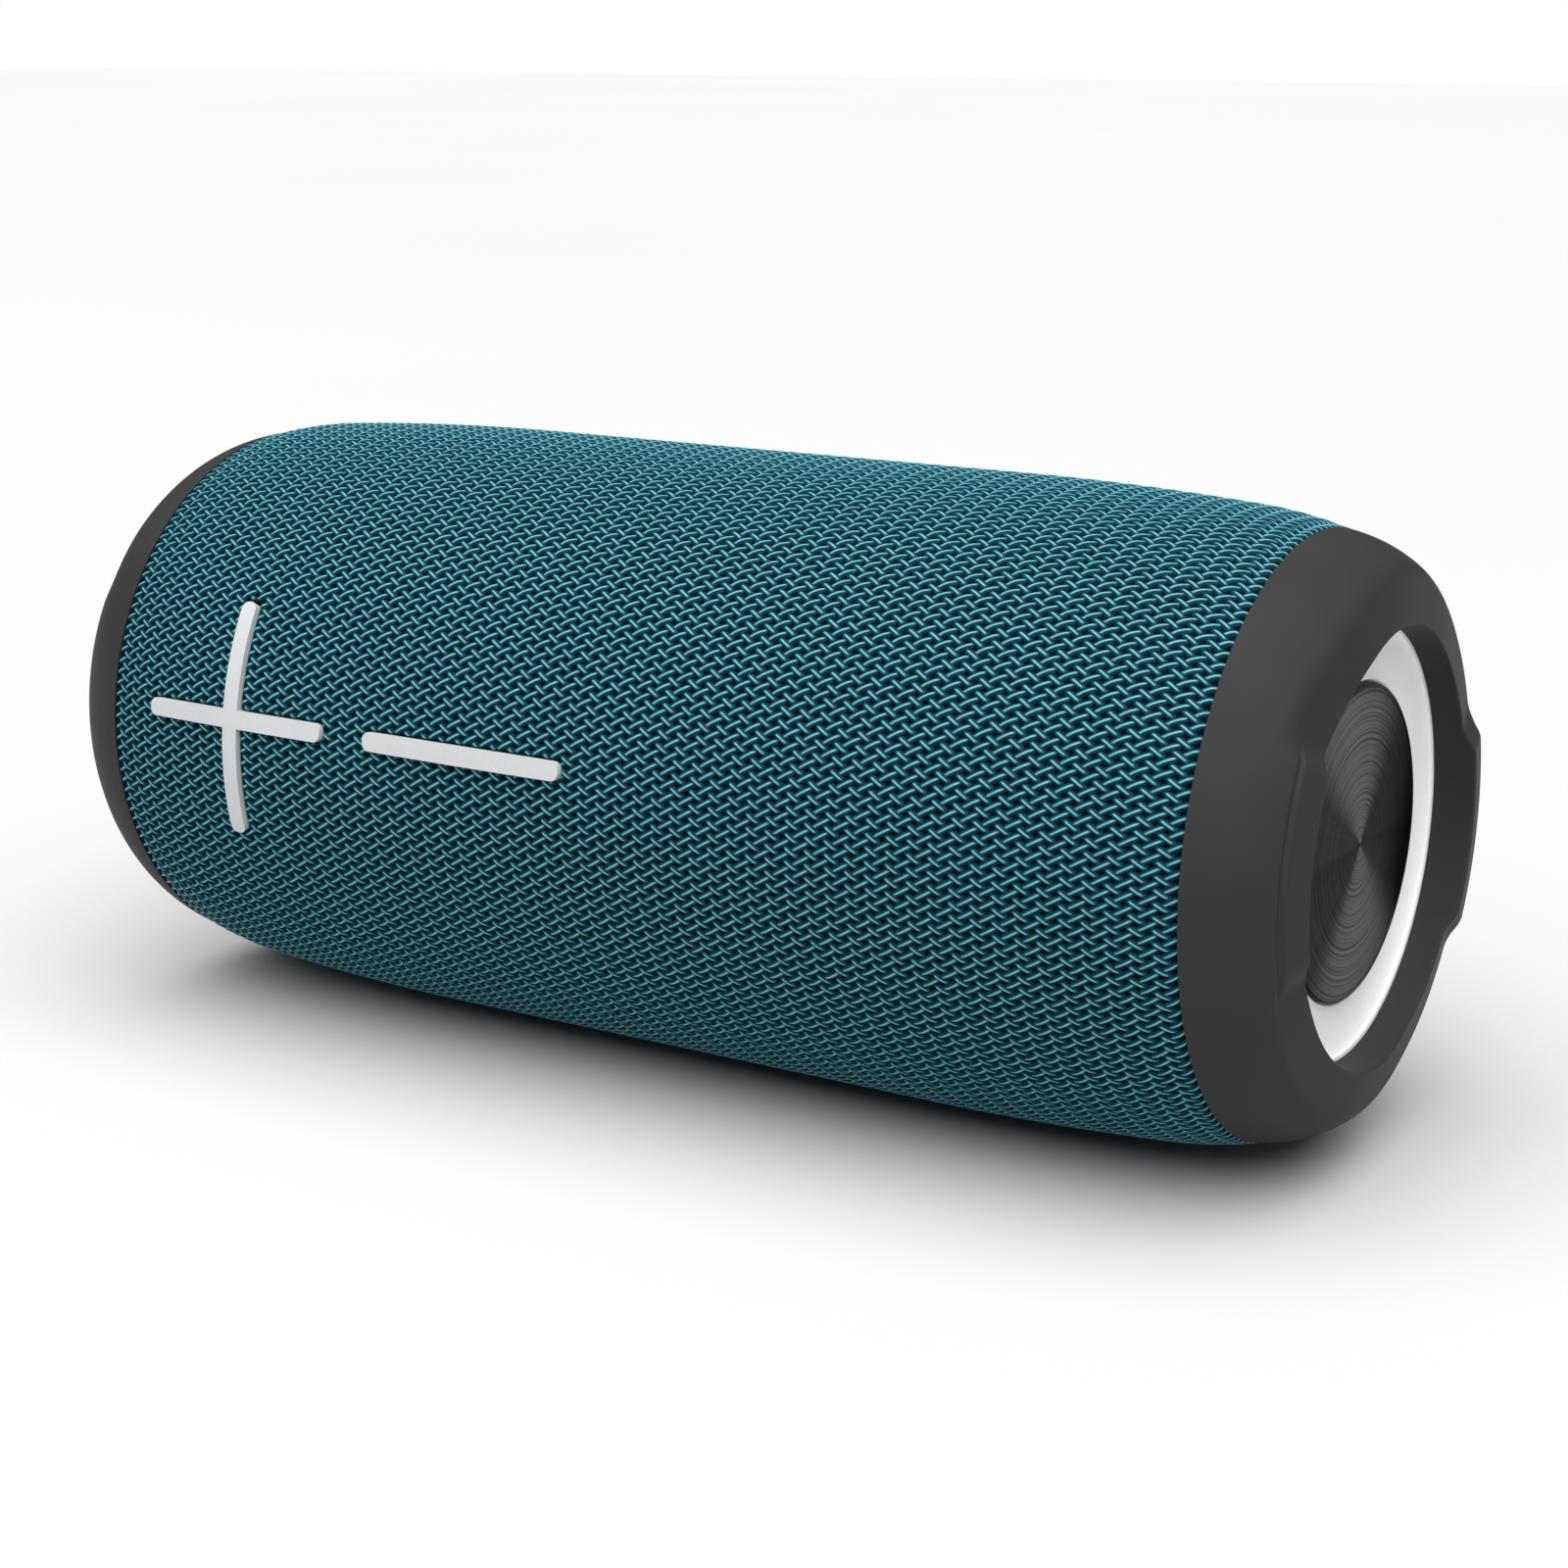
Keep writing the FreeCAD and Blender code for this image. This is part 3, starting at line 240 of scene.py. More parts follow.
# ---------------------------------------------------------------- weave
def weave_surface():
    """The cloth as one surface over crossing yarns: x, angle, height, the place in the weave and quads.

    The surface starts and ends at a zigzag seam under the foot."""
    per = len(YARN_LINES)
    around_count = 2 * per * REPEATS_ROUND + 1
    reach = int(2 * FABRIC_END / REPEAT_ALONG * per) + 3 * per
    across = np.arange(around_count)
    along = np.arange(-reach, reach + 1)
    across, along = (a.ravel() for a in np.meshgrid(across, along, indexing="ij"))
    same = (across + along) % 2 == 0
    across, along = across[same], along[same]
    i, j = (along + across) // 2, (along - across) // 2
    u = i // per + YARN_LINES[i % per]
    v = j // per + YARN_LINES[j % per]

    numbers = np.full((around_count + 2, 2 * reach + 5), -1)
    numbers[across + 1, along + reach] = np.arange(len(across))
    corners = np.stack([
        numbers[across + 1, along + reach], numbers[across, along + reach + 1],
        numbers[across + 1, along + reach + 2], numbers[across + 2, along + reach + 1],
    ], 1)
    corners = corners[(corners >= 0).all(1)]

    drift = np.random.default_rng(DRIFT_SEED).normal(0, YARN_DRIFT, (2, REPEATS_ROUND))
    du = drift[0][np.round(u).astype(int) % REPEATS_ROUND]
    dv = drift[1][np.round(v).astype(int) % REPEATS_ROUND]
    x = REPEAT_ALONG * (u + du + v + dv) / 2
    angle = math.pi + math.pi * (u + du - v - dv) / REPEATS_ROUND
    rising = yarn_height(u, v, -1)
    falling = yarn_height(v, u, 1) + FALLING_BIAS
    height = np.maximum(rising, falling)

    inside = np.abs(x[corners]).max(1) <= FABRIC_END
    used, corners = np.unique(corners[inside], return_inverse=True)
    x, angle, height, u, v = (a[used] for a in (x, angle, height, u, v))
    height = height - YARN_RISE - FALLING_BIAS - tuck(x)
    return x, angle, height, u, v, corners.reshape(-1, 4)


def tuck(x):
    """How far in mm the cloth's two ends dip under the caps."""
    return np.maximum(np.abs(x) - TUCK_START, 0) * TUCK_SLOPE


def yarn_height(along, across, sign):
    """Height in mm of the yarn nearest to a point, over one crossing and under the next."""
    line = np.round(across)
    wave = sign * np.cos(math.pi * along) * np.cos(math.pi * line)
    return YARN_RISE * wave * (1.5 - 0.5 * wave ** 2) + np.interp(np.abs(across - line), *YARN_SECTION)


def weave_pieces(material):
    """The cloth in strips round the barrel, each with a flat layout of its own for baked maps."""
    x, angle, height, u, v, corners = weave_surface()
    count = len(x)
    x, angle, height, corners = cut_windows(x, angle, height, corners, CUT_EDGE_HEIGHT)
    spare = np.zeros(len(x) - count)
    place = np.stack([np.concatenate([u, spare]), np.concatenate([v, spare]), np.zeros(len(x))], 1)
    points = around(x, barrel_radius(np.minimum(np.abs(x), FABRIC_EDGE[0])) + height, angle)
    turn = angle % (2 * math.pi)
    strip_of = (turn[corners[:, 0]] / (2 * math.pi) * STRIPS).astype(int) % STRIPS
    pieces = []
    for strip in range(STRIPS):
        faces = corners[strip_of == strip]
        used, faces = np.unique(faces, return_inverse=True)
        faces = faces.reshape(-1, 4)
        piece = mesh_piece(f"fabric_weave_{strip + 1}", points[used], faces, material)
        layer = piece.data.attributes.new("weave", "FLOAT_VECTOR", "POINT")
        layer.data.foreach_set("vector", place[used].astype(np.float32).ravel())
        lay_flat(piece, x[used], angle[used], faces, strip)
        pieces.append(piece)
    return pieces


def lay_flat(piece, x, angle, faces, strip):
    """Unrolls a strip into two rows, its left half below its right half."""
    middle = (strip + 0.5) * 2 * math.pi / STRIPS
    across = 0.5 + wrapped(angle - middle) * STRIPS / (2 * math.pi) * FLAT_SHARE
    right = x[faces].mean(1) > 0
    low_x = np.where(right, 0.0, -FABRIC_END)[:, None]
    along = (x[faces] - low_x) / FABRIC_END
    row = np.where(right, 0.5, 0.0)[:, None]
    layout = np.stack([FLAT_MARGIN + (1 - 2 * FLAT_MARGIN) * along, row + 0.5 * across[faces]], -1)
    layer = piece.data.uv_layers.new(name="OFBake")
    layer.data.foreach_set("uv", np.clip(layout, 0, 1).astype(np.float32).ravel())


def backing_piece(material):
    """Acoustic cloth under the open weave."""
    xs = np.linspace(-FABRIC_END + BACKING_SHORT, FABRIC_END - BACKING_SHORT, BACKING_STATIONS)
    angles = np.linspace(0, 2 * math.pi, BACKING_STEPS + 1)[:-1]
    x, angle = (a.ravel() for a in np.meshgrid(xs, angles, indexing="ij"))
    height = np.full(len(x), -BACKING_DEPTH) - tuck(x)
    faces = grid_faces(len(xs), len(angles), close_columns=True)
    x, angle, height, faces = cut_windows(x, angle, height, faces, -BACKING_DEPTH)
    points = around(x, barrel_radius(np.minimum(np.abs(x), FABRIC_EDGE[0])) + height, angle)
    return mesh_piece("fabric_backing", points, faces, material)


# ---------------------------------------------------------------- end caps
# Outline in mm: the shoulder leaves the cloth and arrives at the brink of the rim at (slope, reach),
# then a flat rim rises to RIM_X round the bore.
BRINK = (91.4, 32.1)
SHOULDER_LEAVES = (math.radians(9), 5.2)
SHOULDER_ARRIVES = (math.radians(49), 3.4)
SHOULDER_STATIONS, RIM_STATIONS, ROUND_STATIONS = 80, 40, 7
CAP_STEPS = 720
RIM_X = 92.4
BORE = 27.1
BORE_FLOOR = 86.95
RIM_ROUND = 0.35
SCOOP_FALL = 0.26
SCOOP_BLUR = 4
# How far out the planed rim stands at the bore: (degrees from the top towards the front, x in mm).
SCOOP_LEVELS = ((-149, 91.3), (-112, 91.2), (-66, 91.0), (-43, 90.9), (-12, 91.3), (8, 91.9),
                (32, 92.3), (52, 91.7), (64, 91.1), (116, 91.5), (128, 91.7), (152, 91.8), (175, 92.2))
TAB_START = math.radians(29)
TAB_TOP = math.radians(21.5)
CREASE_RADIUS, CREASE_WIDTH, CREASE_DEPTH = 32.4, 0.34, 0.42
# The plane meets the shoulder in a round of this reach, which grows by the second over a span of radii.
PLANE_ROUND, PLANE_ROUND_GROWTH = 0.2, 0.9
GROWTH_START, GROWTH_SPAN = 31, 3
# The wall of the bore by shares of its depth, then the hidden back as (x, radius).
WALL_SHARES = (0.1, 0.4, 0.8, 1.0)
CAP_BACK = ((BORE_FLOOR, 30.6), (85.3, 30.6), (85.3, 35.6), (81.3, 35.6), (81.3, 36.0),
            (FABRIC_EDGE[0], 36.2), (FABRIC_EDGE[0], 37.55))
CAP_SHARP = math.radians(12)


def soft_minimum(a, b, reach):
    """The lower of two heights, with the change between them rounded over reach."""
    blend = np.clip(0.5 + 0.5 * (b - a) / reach, 0, 1)
    return b + (a - b) * blend - reach * blend * (1 - blend)


def cap_outline():
    """(x, radius) stations from the cloth over the shoulder to the rim, before the facets are cut."""
    start, end = np.array(FABRIC_EDGE), np.array(BRINK)
    leaving, arriving = (reach * np.array([math.cos(slope), -math.sin(slope)])
                         for slope, reach in (SHOULDER_LEAVES, SHOULDER_ARRIVES))
    shoulder = bezier(start, start + leaving, end - arriving, end, SHOULDER_STATIONS)
    quarter = np.linspace(0, math.pi / 2, ROUND_STATIONS)[1:]
    rim_r = np.concatenate([np.linspace(BRINK[1], BORE + RIM_ROUND, RIM_STATIONS)[1:],
                            BORE + RIM_ROUND * (1 - np.sin(quarter))])
    slope = (RIM_X - BRINK[0]) / (BRINK[1] - BORE - RIM_ROUND)
    rim_x = BRINK[0] + (BRINK[1] - np.maximum(rim_r, BORE + RIM_ROUND)) * slope
    return np.concatenate([shoulder[:, 0], rim_x]), np.concatenate([shoulder[:, 1], rim_r])


def bezier(a, b, c, d, count):
    """Points along the cubic curve from a to d that is drawn towards b and c."""
    t = np.linspace(0, 1, count)[:, None]
    return (1 - t) ** 3 * a + 3 * (1 - t) ** 2 * t * b + 3 * (1 - t) * t ** 2 * c + t ** 3 * d


def scoop_levels(angle):
    """The planed rim's height at the bore all the way round, with its corners softened."""
    places, levels = np.array(SCOOP_LEVELS).T
    turned_by = np.degrees(angle)
    level = np.interp(turned_by, places, levels, period=360)
    reach = np.arange(-SCOOP_BLUR, SCOOP_BLUR + 1)
    return np.mean([np.interp(turned_by + step, turned_by, level, period=360) for step in reach], 0)


def cap_piece(side, material):
    """Moulded cap: a raised tab at the front and the back, and a planed rim between them."""
    sign = 1 if side == "right" else -1
    angle = np.arange(CAP_STEPS) * 2 * math.pi / CAP_STEPS
    x, r = (np.repeat(values[:, None], CAP_STEPS, 1) for values in cap_outline())
    planed = scoop_levels(angle)[None, :] - (r - BORE) * SCOOP_FALL
    growth = np.clip((r - GROWTH_START) / GROWTH_SPAN, 0, 1)
    planed = soft_minimum(x, planed, PLANE_ROUND + growth * PLANE_ROUND_GROWTH)
    from_tab = np.abs(np.abs(wrapped(angle)) - math.pi / 2)
    share = np.clip((TAB_START - from_tab) / (TAB_START - TAB_TOP), 0, 1)
    tab = (share ** 2 * (3 - 2 * share))[None, :]
    x = tab * x + (1 - tab) * np.minimum(x, planed)
    x = x - tab * CREASE_DEPTH * np.exp(-((r - CREASE_RADIUS) / CREASE_WIDTH) ** 2)
    inner = np.maximum(BORE + RIM_ROUND - r, 0)
    x = x - (RIM_ROUND - np.sqrt(np.maximum(RIM_ROUND ** 2 - inner ** 2, 0)))
    top = x[-1]
    wall_x = np.array([top + (BORE_FLOOR - top) * depth for depth in WALL_SHARES])
    back_x, back_r = (np.repeat(values[:, None], CAP_STEPS, 1) for values in np.array(CAP_BACK).T)
    x = np.concatenate([x, wall_x, back_x])
    r = np.concatenate([r, np.full_like(wall_x, BORE), back_r])
    points = around(sign * x, r, np.repeat(angle[None, :], len(x), 0), lift=FRONT_LIFT)
    faces = grid_faces(len(x), CAP_STEPS, close_rows=True, close_columns=True)
    if sign < 0:
        faces = faces[:, ::-1].copy()
    piece = mesh_piece(f"cap_moulding_{side}", points, faces, material)
    piece.data.set_sharp_from_angle(angle=CAP_SHARP)
    return piece


# ---------------------------------------------------------------- radiators
# The surround in mm: a clamped flange, a half roll that dips by ROLL_DEPTH, and a lip under the disc.
# BEND_RADII gives two radii for each sector to bend between, but nothing here makes the sectors bend.
SURROUND_SECTORS = 16
SECTOR_COLUMNS = 17
FLANGE_RADIUS = 29.8
ROLL_OUTER, ROLL_INNER = 26.9, 20.0
ROLL_OUTER_X, ROLL_INNER_X = 86.85, 86.6
ROLL_STATIONS = 33
ROLL_DEPTH = 1.0
ROLL_FULLNESS = 1.2
ROLL_THICKNESS = 0.7
LIP_X, LIP_RADIUS, LIP_INSET = 85.95, 19.2, 0.15
BEND_RADII = (26.4, 20.6)
TURNED_STEPS = 256
# The disc in mm: crown of the dome, how far it falls, its centre and reach, then (x, radius) to the back.
CROWN_X, CROWN_FALL = 87.62, 0.42
DOME_CENTRE, DOME_REACH, DOME_STATIONS = 0.02, 18.7, 40
DISC_EDGE = ((87.12, 18.95), (87.1, 19.2), (87.0, 19.45), (86.8, 19.62), (86.5, 19.68),
             (86.02, 19.7), (86.02, 14.0), (86.02, DOME_CENTRE))


def turned(name, side, stations, material, angles=None):
    """A surface turned about the barrel's axis from (x, radius) stations, closed on itself."""
    sign = 1 if side == "right" else -1
    whole = angles is None
    if whole:
        angles = np.arange(TURNED_STEPS) * 2 * math.pi / TURNED_STEPS
    xs, rs = (np.array(stations)[:, k][:, None] for k in (0, 1))
    points = around(sign * xs, rs, angles[None, :])
    faces = grid_faces(len(xs), len(angles), close_rows=True, close_columns=whole)
    if sign < 0:
        faces = faces[:, ::-1].copy()
    return mesh_piece(name, points, faces, material)


def surround_stations():
    """Shallow half roll between the clamped flange and the lip under the disc."""
    share = np.linspace(0, 1, ROLL_STATIONS)
    radius = ROLL_OUTER + (ROLL_INNER - ROLL_OUTER) * share
    level = ROLL_OUTER_X + (ROLL_INNER_X - ROLL_OUTER_X) * share
    dip = ROLL_DEPTH * np.sqrt(np.maximum(1 - (2 * share - 1) ** 2, 0)) ** ROLL_FULLNESS
    front = [(ROLL_OUTER_X, FLANGE_RADIUS), *zip(level - dip, radius),
             (LIP_X, ROLL_INNER - LIP_INSET), (LIP_X, LIP_RADIUS)]
    back = [(x - ROLL_THICKNESS, r) for x, r in reversed(front)]
    return front + back


def radiator(side, ring_material, disc_material):
    """The surround in sectors, and the disc that it carries, attached to the radiator's body."""
    stations = surround_stations()
    body = f"{side}_radiator"
    sign = 1 if side == "right" else -1
    width = 2 * math.pi / SURROUND_SECTORS
    for sector in range(SURROUND_SECTORS):
        angles = (sector + np.linspace(-0.5, 0.5, SECTOR_COLUMNS)) * width
        piece = turned(f"surround_{side}_{sector + 1}", side, stations, ring_material, angles=angles)
        normals_from_turning(piece, side)
        start, end = (Vector(around(sign * ROLL_OUTER_X, r, sector * width)) * MM for r in BEND_RADII)
        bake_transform(piece)
        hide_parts(f"radiator_surround_{side}")
    disc = disc_piece(side, disc_material)
    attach(disc, body)
    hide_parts(f"radiator_disc_{side}")


def normals_from_turning(piece, side):
    """Normals of the whole turned ring, so that neighbouring sectors shade as one."""
    mesh = piece.data
    stations = np.array(surround_stations())
    sign = 1 if side == "right" else -1
    ahead, behind = np.roll(stations, -1, 0), np.roll(stations, 1, 0)
    tangent = (ahead - behind) / np.linalg.norm(ahead - behind, axis=1)[:, None]
    out_x, out_r = -tangent[:, 1], tangent[:, 0]
    co = np.array([v.co for v in mesh.vertices])
    centre = co - np.array([0, 0, AXIS_Z * MM])
    spin = centre[:, 1:] / np.maximum(np.linalg.norm(centre[:, 1:], axis=1), 1e-9)[:, None]
    columns = len(co) // len(stations)
    nx, nr = np.repeat(out_x, columns), np.repeat(out_r, columns)
    normals = np.stack([sign * nx, nr * spin[:, 0], nr * spin[:, 1]], 1)
    reference = np.array([v.normal for v in mesh.vertices])
    if (normals * reference).sum() < 0:
        normals = -normals
    mesh.normals_split_custom_set_from_vertices(normals.tolist())


def disc_piece(side, material):
    """Spun disc: a shallow dome with a rounded edge and a flat back."""
    dome = [(CROWN_X - CROWN_FALL * share ** 2, DOME_CENTRE + DOME_REACH * share)
            for share in np.linspace(0, 1, DOME_STATIONS)]
    return turned(f"spun_disc_{side}", side, dome + list(DISC_EDGE), material)


# ---------------------------------------------------------------- materials
THREAD_PITCH = 0.0006
# Yarn colours: navy in the holes, for the dark backing seen through them and painted shade in them;
# painted shade on the deep teal flanks; a painted highlight on the crests; and a tint for random patches.
HOLE_BACKING_AND_SHADE_COLOUR = (0.0004, 0.0016, 0.0056)
FLANK_SHADE_COLOUR = (0.0016, 0.036, 0.051)
CREST_HIGHLIGHT_COLOUR = (0.135, 0.40, 0.47)
PATCH_TINT_COLOUR = (0.72, 0.78, 0.80)
# Disc colours run from the dark anodised tone to a painted highlight, which the turn and base below shape
# into two wedges.
DISC_DARK, DISC_HIGHLIGHT_COLOUR = (0.008, 0.008, 0.0085), (0.17, 0.17, 0.172)
DISC_HIGHLIGHT_TURN = 0.12
DISC_HIGHLIGHT_BASE = 0.36
CAP_DARK, CAP_LIGHT = (0.025, 0.025, 0.0255), (0.034, 0.034, 0.0345)
FLOOR_DARK, FLOOR_LIGHT = (0.52, 0.52, 0.52), (0.53, 0.53, 0.53)


class Nodes:
    """A material with its Principled shader, and short ways to add and join nodes."""

    def __init__(self, name, **values):
        self.material = bpy.data.materials.new(name)
        self.material.use_nodes = True
        self.tree = self.material.node_tree
        self.shader = next(n for n in self.tree.nodes if n.type == "BSDF_PRINCIPLED")
        for socket, value in values.items():
            self.shader.inputs[socket.replace("_", " ")].default_value = value

    def add(self, kind, inputs=(), **settings):
        node = self.tree.nodes.new(kind)
        for key, value in settings.items():
            setattr(node, key, value)
        for key, value in dict(inputs).items():
            if isinstance(value, bpy.types.NodeSocket):
                self.tree.links.new(value, node.inputs[key])
            else:
                node.inputs[key].default_value = value
        return node

    def math(self, operation, a, b=0.0, c=0.0):
        """One step of arithmetic on sockets or numbers."""
        return self.add("ShaderNodeMath", {0: a, 1: b, 2: c}, operation=operation).outputs[0]

    def noise(self, scale, detail=3.0, roughness=0.55, vector=None):
        """Noise in metres over the object, or over a vector of its own."""
        return self.add("ShaderNodeTexNoise", {
            "Scale": scale, "Detail": detail, "Roughness": roughness,
            "Vector": self.position() if vector is None else vector}).outputs["Fac"]

    def line_noise(self, value, scale, detail, roughness):
        """Noise along a single value."""
        return self.add("ShaderNodeTexNoise", {
            "W": value, "Scale": scale, "Detail": detail, "Roughness": roughness},
            noise_dimensions="1D").outputs["Fac"]

    def position(self):
        return self.add("ShaderNodeTexCoord").outputs["Object"]

    def ramp(self, value, stops):
        node = self.add("ShaderNodeValToRGB", {"Fac": value})
        elements = node.color_ramp.elements
        while len(elements) < len(stops):
            elements.new(0.5)
        for element, (place, colour) in zip(elements, stops):
            element.position = place
            element.color = (*colour, 1)
        return node.outputs["Color"]

    def choose(self, which, no, yes):
        """no where which is 0, yes where it is 1."""
        return self.math("MULTIPLY_ADD", which, self.math("SUBTRACT", yes, no), no)

    def smooth(self, value, zero, one):
        """0 at one value rising smoothly to 1 at another, which may be lower."""
        node = self.add("ShaderNodeMapRange", {"Value": value, "From Min": zero, "From Max": one},
                        interpolation_type="SMOOTHSTEP")
        return node.outputs["Result"]

    def mix(self, factor, a, b, blend="MIX"):
        node = self.add("ShaderNodeMix", {0: factor}, data_type="RGBA", blend_type=blend)
        for index, value in ((6, a), (7, b)):
            if isinstance(value, bpy.types.NodeSocket):
                self.tree.links.new(value, node.inputs[index])
            else:
                node.inputs[index].default_value = (*value, 1)
        return node.outputs[2]

    def between(self, value, low, high):
        """Spreads a value from 0 to 1 over low to high."""
        node = self.add("ShaderNodeMapRange", {"Value": value, "To Min": low, "To Max": high})
        return node.outputs["Result"]

    def feed(self, socket, value):
        self.tree.links.new(value, self.shader.inputs[socket])

    def bump(self, height, distance, strength=1.0):
        node = self.add("ShaderNodeBump", {"Height": height, "Distance": distance, "Strength": strength})
        self.feed("Normal", node.outputs["Normal"])


def moulded(name, dark, light, scale=900.0, rough=(0.45, 0.6), depth=0.00002):
    """Moulded plastic, rubber or paint: mottled colour, fine grain and uneven gloss."""
    nodes = Nodes(name)
    grain = nodes.noise(scale, 4.0)
    cloud = nodes.noise(38.0, 4.0)
    mixed = nodes.math("ADD", nodes.math("MULTIPLY", grain, 0.45), nodes.math("MULTIPLY", cloud, 0.55))
    nodes.feed("Base Color", nodes.ramp(mixed, [(0.32, dark), (0.68, light)]))
    nodes.feed("Roughness", nodes.between(cloud, *rough))
    nodes.bump(grain, depth, 0.6)
    return nodes.material


def metal(name, dark, light, rough=(0.3, 0.45)):
    """Plated or bare metal with a fine grain and a slow change of tone."""
    nodes = Nodes(name, Metallic=1.0)
    grain = nodes.noise(1400.0, 3.0)
    cloud = nodes.noise(60.0, 3.0)
    nodes.feed("Base Color", nodes.ramp(cloud, [(0.35, dark), (0.65, light)]))
    nodes.feed("Roughness", nodes.between(grain, *rough))
    nodes.bump(grain, 0.000008, 0.5)
    return nodes.material


def woven(name, dark, light):
    """Plain cloth by two crossed sets of threads."""
    nodes = Nodes(name, Roughness=0.85)
    waves = [
        nodes.add("ShaderNodeTexWave", {
            "Vector": nodes.position(), "Scale": 0.31 / THREAD_PITCH, "Distortion": 0.6, "Detail": 1.0},
            bands_direction=axis).outputs["Fac"]
        for axis in ("X", "DIAGONAL")
    ]
    height = nodes.math("MAXIMUM", *waves)
    nodes.feed("Base Color", nodes.ramp(height, [(0.2, dark), (0.9, light)]))
    nodes.bump(height, 0.00008)
    return nodes.material


def yarn_material():
    """Teal yarn with a painted highlight along the crest of each strand, painted shade on its deep teal
    flanks, and navy holes painted dark for the backing seen through them and the shade in them.
    """
    nodes = Nodes("woven_yarn", Roughness=0.6)
    place = nodes.add("ShaderNodeAttribute", attribute_name="weave").outputs["Vector"]
    split = nodes.add("ShaderNodeSeparateXYZ", {"Vector": place})
    u, v = split.outputs["X"], split.outputs["Y"]
    rising = yarn_nodes(nodes, u, v, -1)
    falling = yarn_nodes(nodes, v, u, 1)
    falling_height = nodes.math("ADD", falling["height"], FALLING_BIAS)
    on_top = nodes.math("GREATER_THAN", rising["height"], falling_height)
    offset = nodes.choose(on_top, falling["offset"], rising["offset"])
    crest = nodes.choose(on_top, falling["crest"], rising["crest"])
    along = nodes.choose(on_top, v, u)
    across = nodes.choose(on_top, u, v)

    fibre_place = nodes.add("ShaderNodeCombineXYZ", {
        "X": nodes.math("MULTIPLY", across, 16.0), "Y": nodes.math("MULTIPLY", along, 2.2)}).outputs[0]
    fibre = nodes.noise(1.0, 2.0, vector=fibre_place)
    patch = nodes.noise(160.0, 3.0)
    # Masks for the painted light: core is the crest of the strand on top, flank the strand beside its
    # hole, reach how far the painted highlight runs before the strand dives under; lit is the painted
    # highlight, which also raises the specular level.
    core = nodes.smooth(offset, 0.135, 0.02)
    flank = nodes.smooth(offset, 0.40, 0.20)
    reach = nodes.choose(on_top, nodes.smooth(crest, -0.85, -0.1), nodes.smooth(crest, -0.4, 0.4))
    lit = nodes.math("MULTIPLY", nodes.math("MULTIPLY", core, reach), nodes.between(fibre, 0.6, 1.2))
    nodes.feed("Specular IOR Level", nodes.between(lit, 0.03, 0.45))
    # Painted shade: navy in the holes, for the backing seen through them and the shade there, deep teal
    # on the flanks; then the painted highlight along the crests.
    dark = nodes.mix(flank, HOLE_BACKING_AND_SHADE_COLOUR, FLANK_SHADE_COLOUR)
    tone = nodes.mix(lit, dark, CREST_HIGHLIGHT_COLOUR)
    # Random patches, multiplied by the patch tint.
    nodes.feed("Base Color", nodes.mix(nodes.between(patch, 0.0, 0.5), tone, PATCH_TINT_COLOUR, "MULTIPLY"))
    nodes.bump(fibre, 0.00004, 0.6)
    return nodes.material


def yarn_nodes(nodes, along, across, sign):
    """The same section and wave as yarn_height, in nodes."""
    line = nodes.math("ROUND", across)
    offset = nodes.math("ABSOLUTE", nodes.math("SUBTRACT", across, line))
    wave = nodes.math("MULTIPLY", nodes.math("COSINE", nodes.math("MULTIPLY", along, math.pi)),
                      nodes.math("COSINE", nodes.math("MULTIPLY", line, math.pi)))
    crest = nodes.math("MULTIPLY", wave, float(sign))
    section = nodes.add("ShaderNodeFloatCurve", {"Value": nodes.math("MULTIPLY", offset, 2.0)})
    curve = section.mapping.curves[0]
    for place, drop in zip(*YARN_SECTION):
        if place in (0.0, 0.5):
            curve.points[0 if place == 0 else -1].location = (2 * place, 1 + drop)
        else:
            curve.points.new(2 * place, 1 + drop)
    for point in curve.points:
        point.handle_type = "VECTOR"
    section.mapping.update()
    level = nodes.math("MULTIPLY_ADD", nodes.math("MULTIPLY", crest, crest), -0.5, 1.5)
    rise = nodes.math("MULTIPLY", nodes.math("MULTIPLY", crest, level), YARN_RISE)
    height = nodes.math("ADD", rise, nodes.math("SUBTRACT", section.outputs[0], 1.0))
    return {"height": height, "offset": offset, "crest": crest}


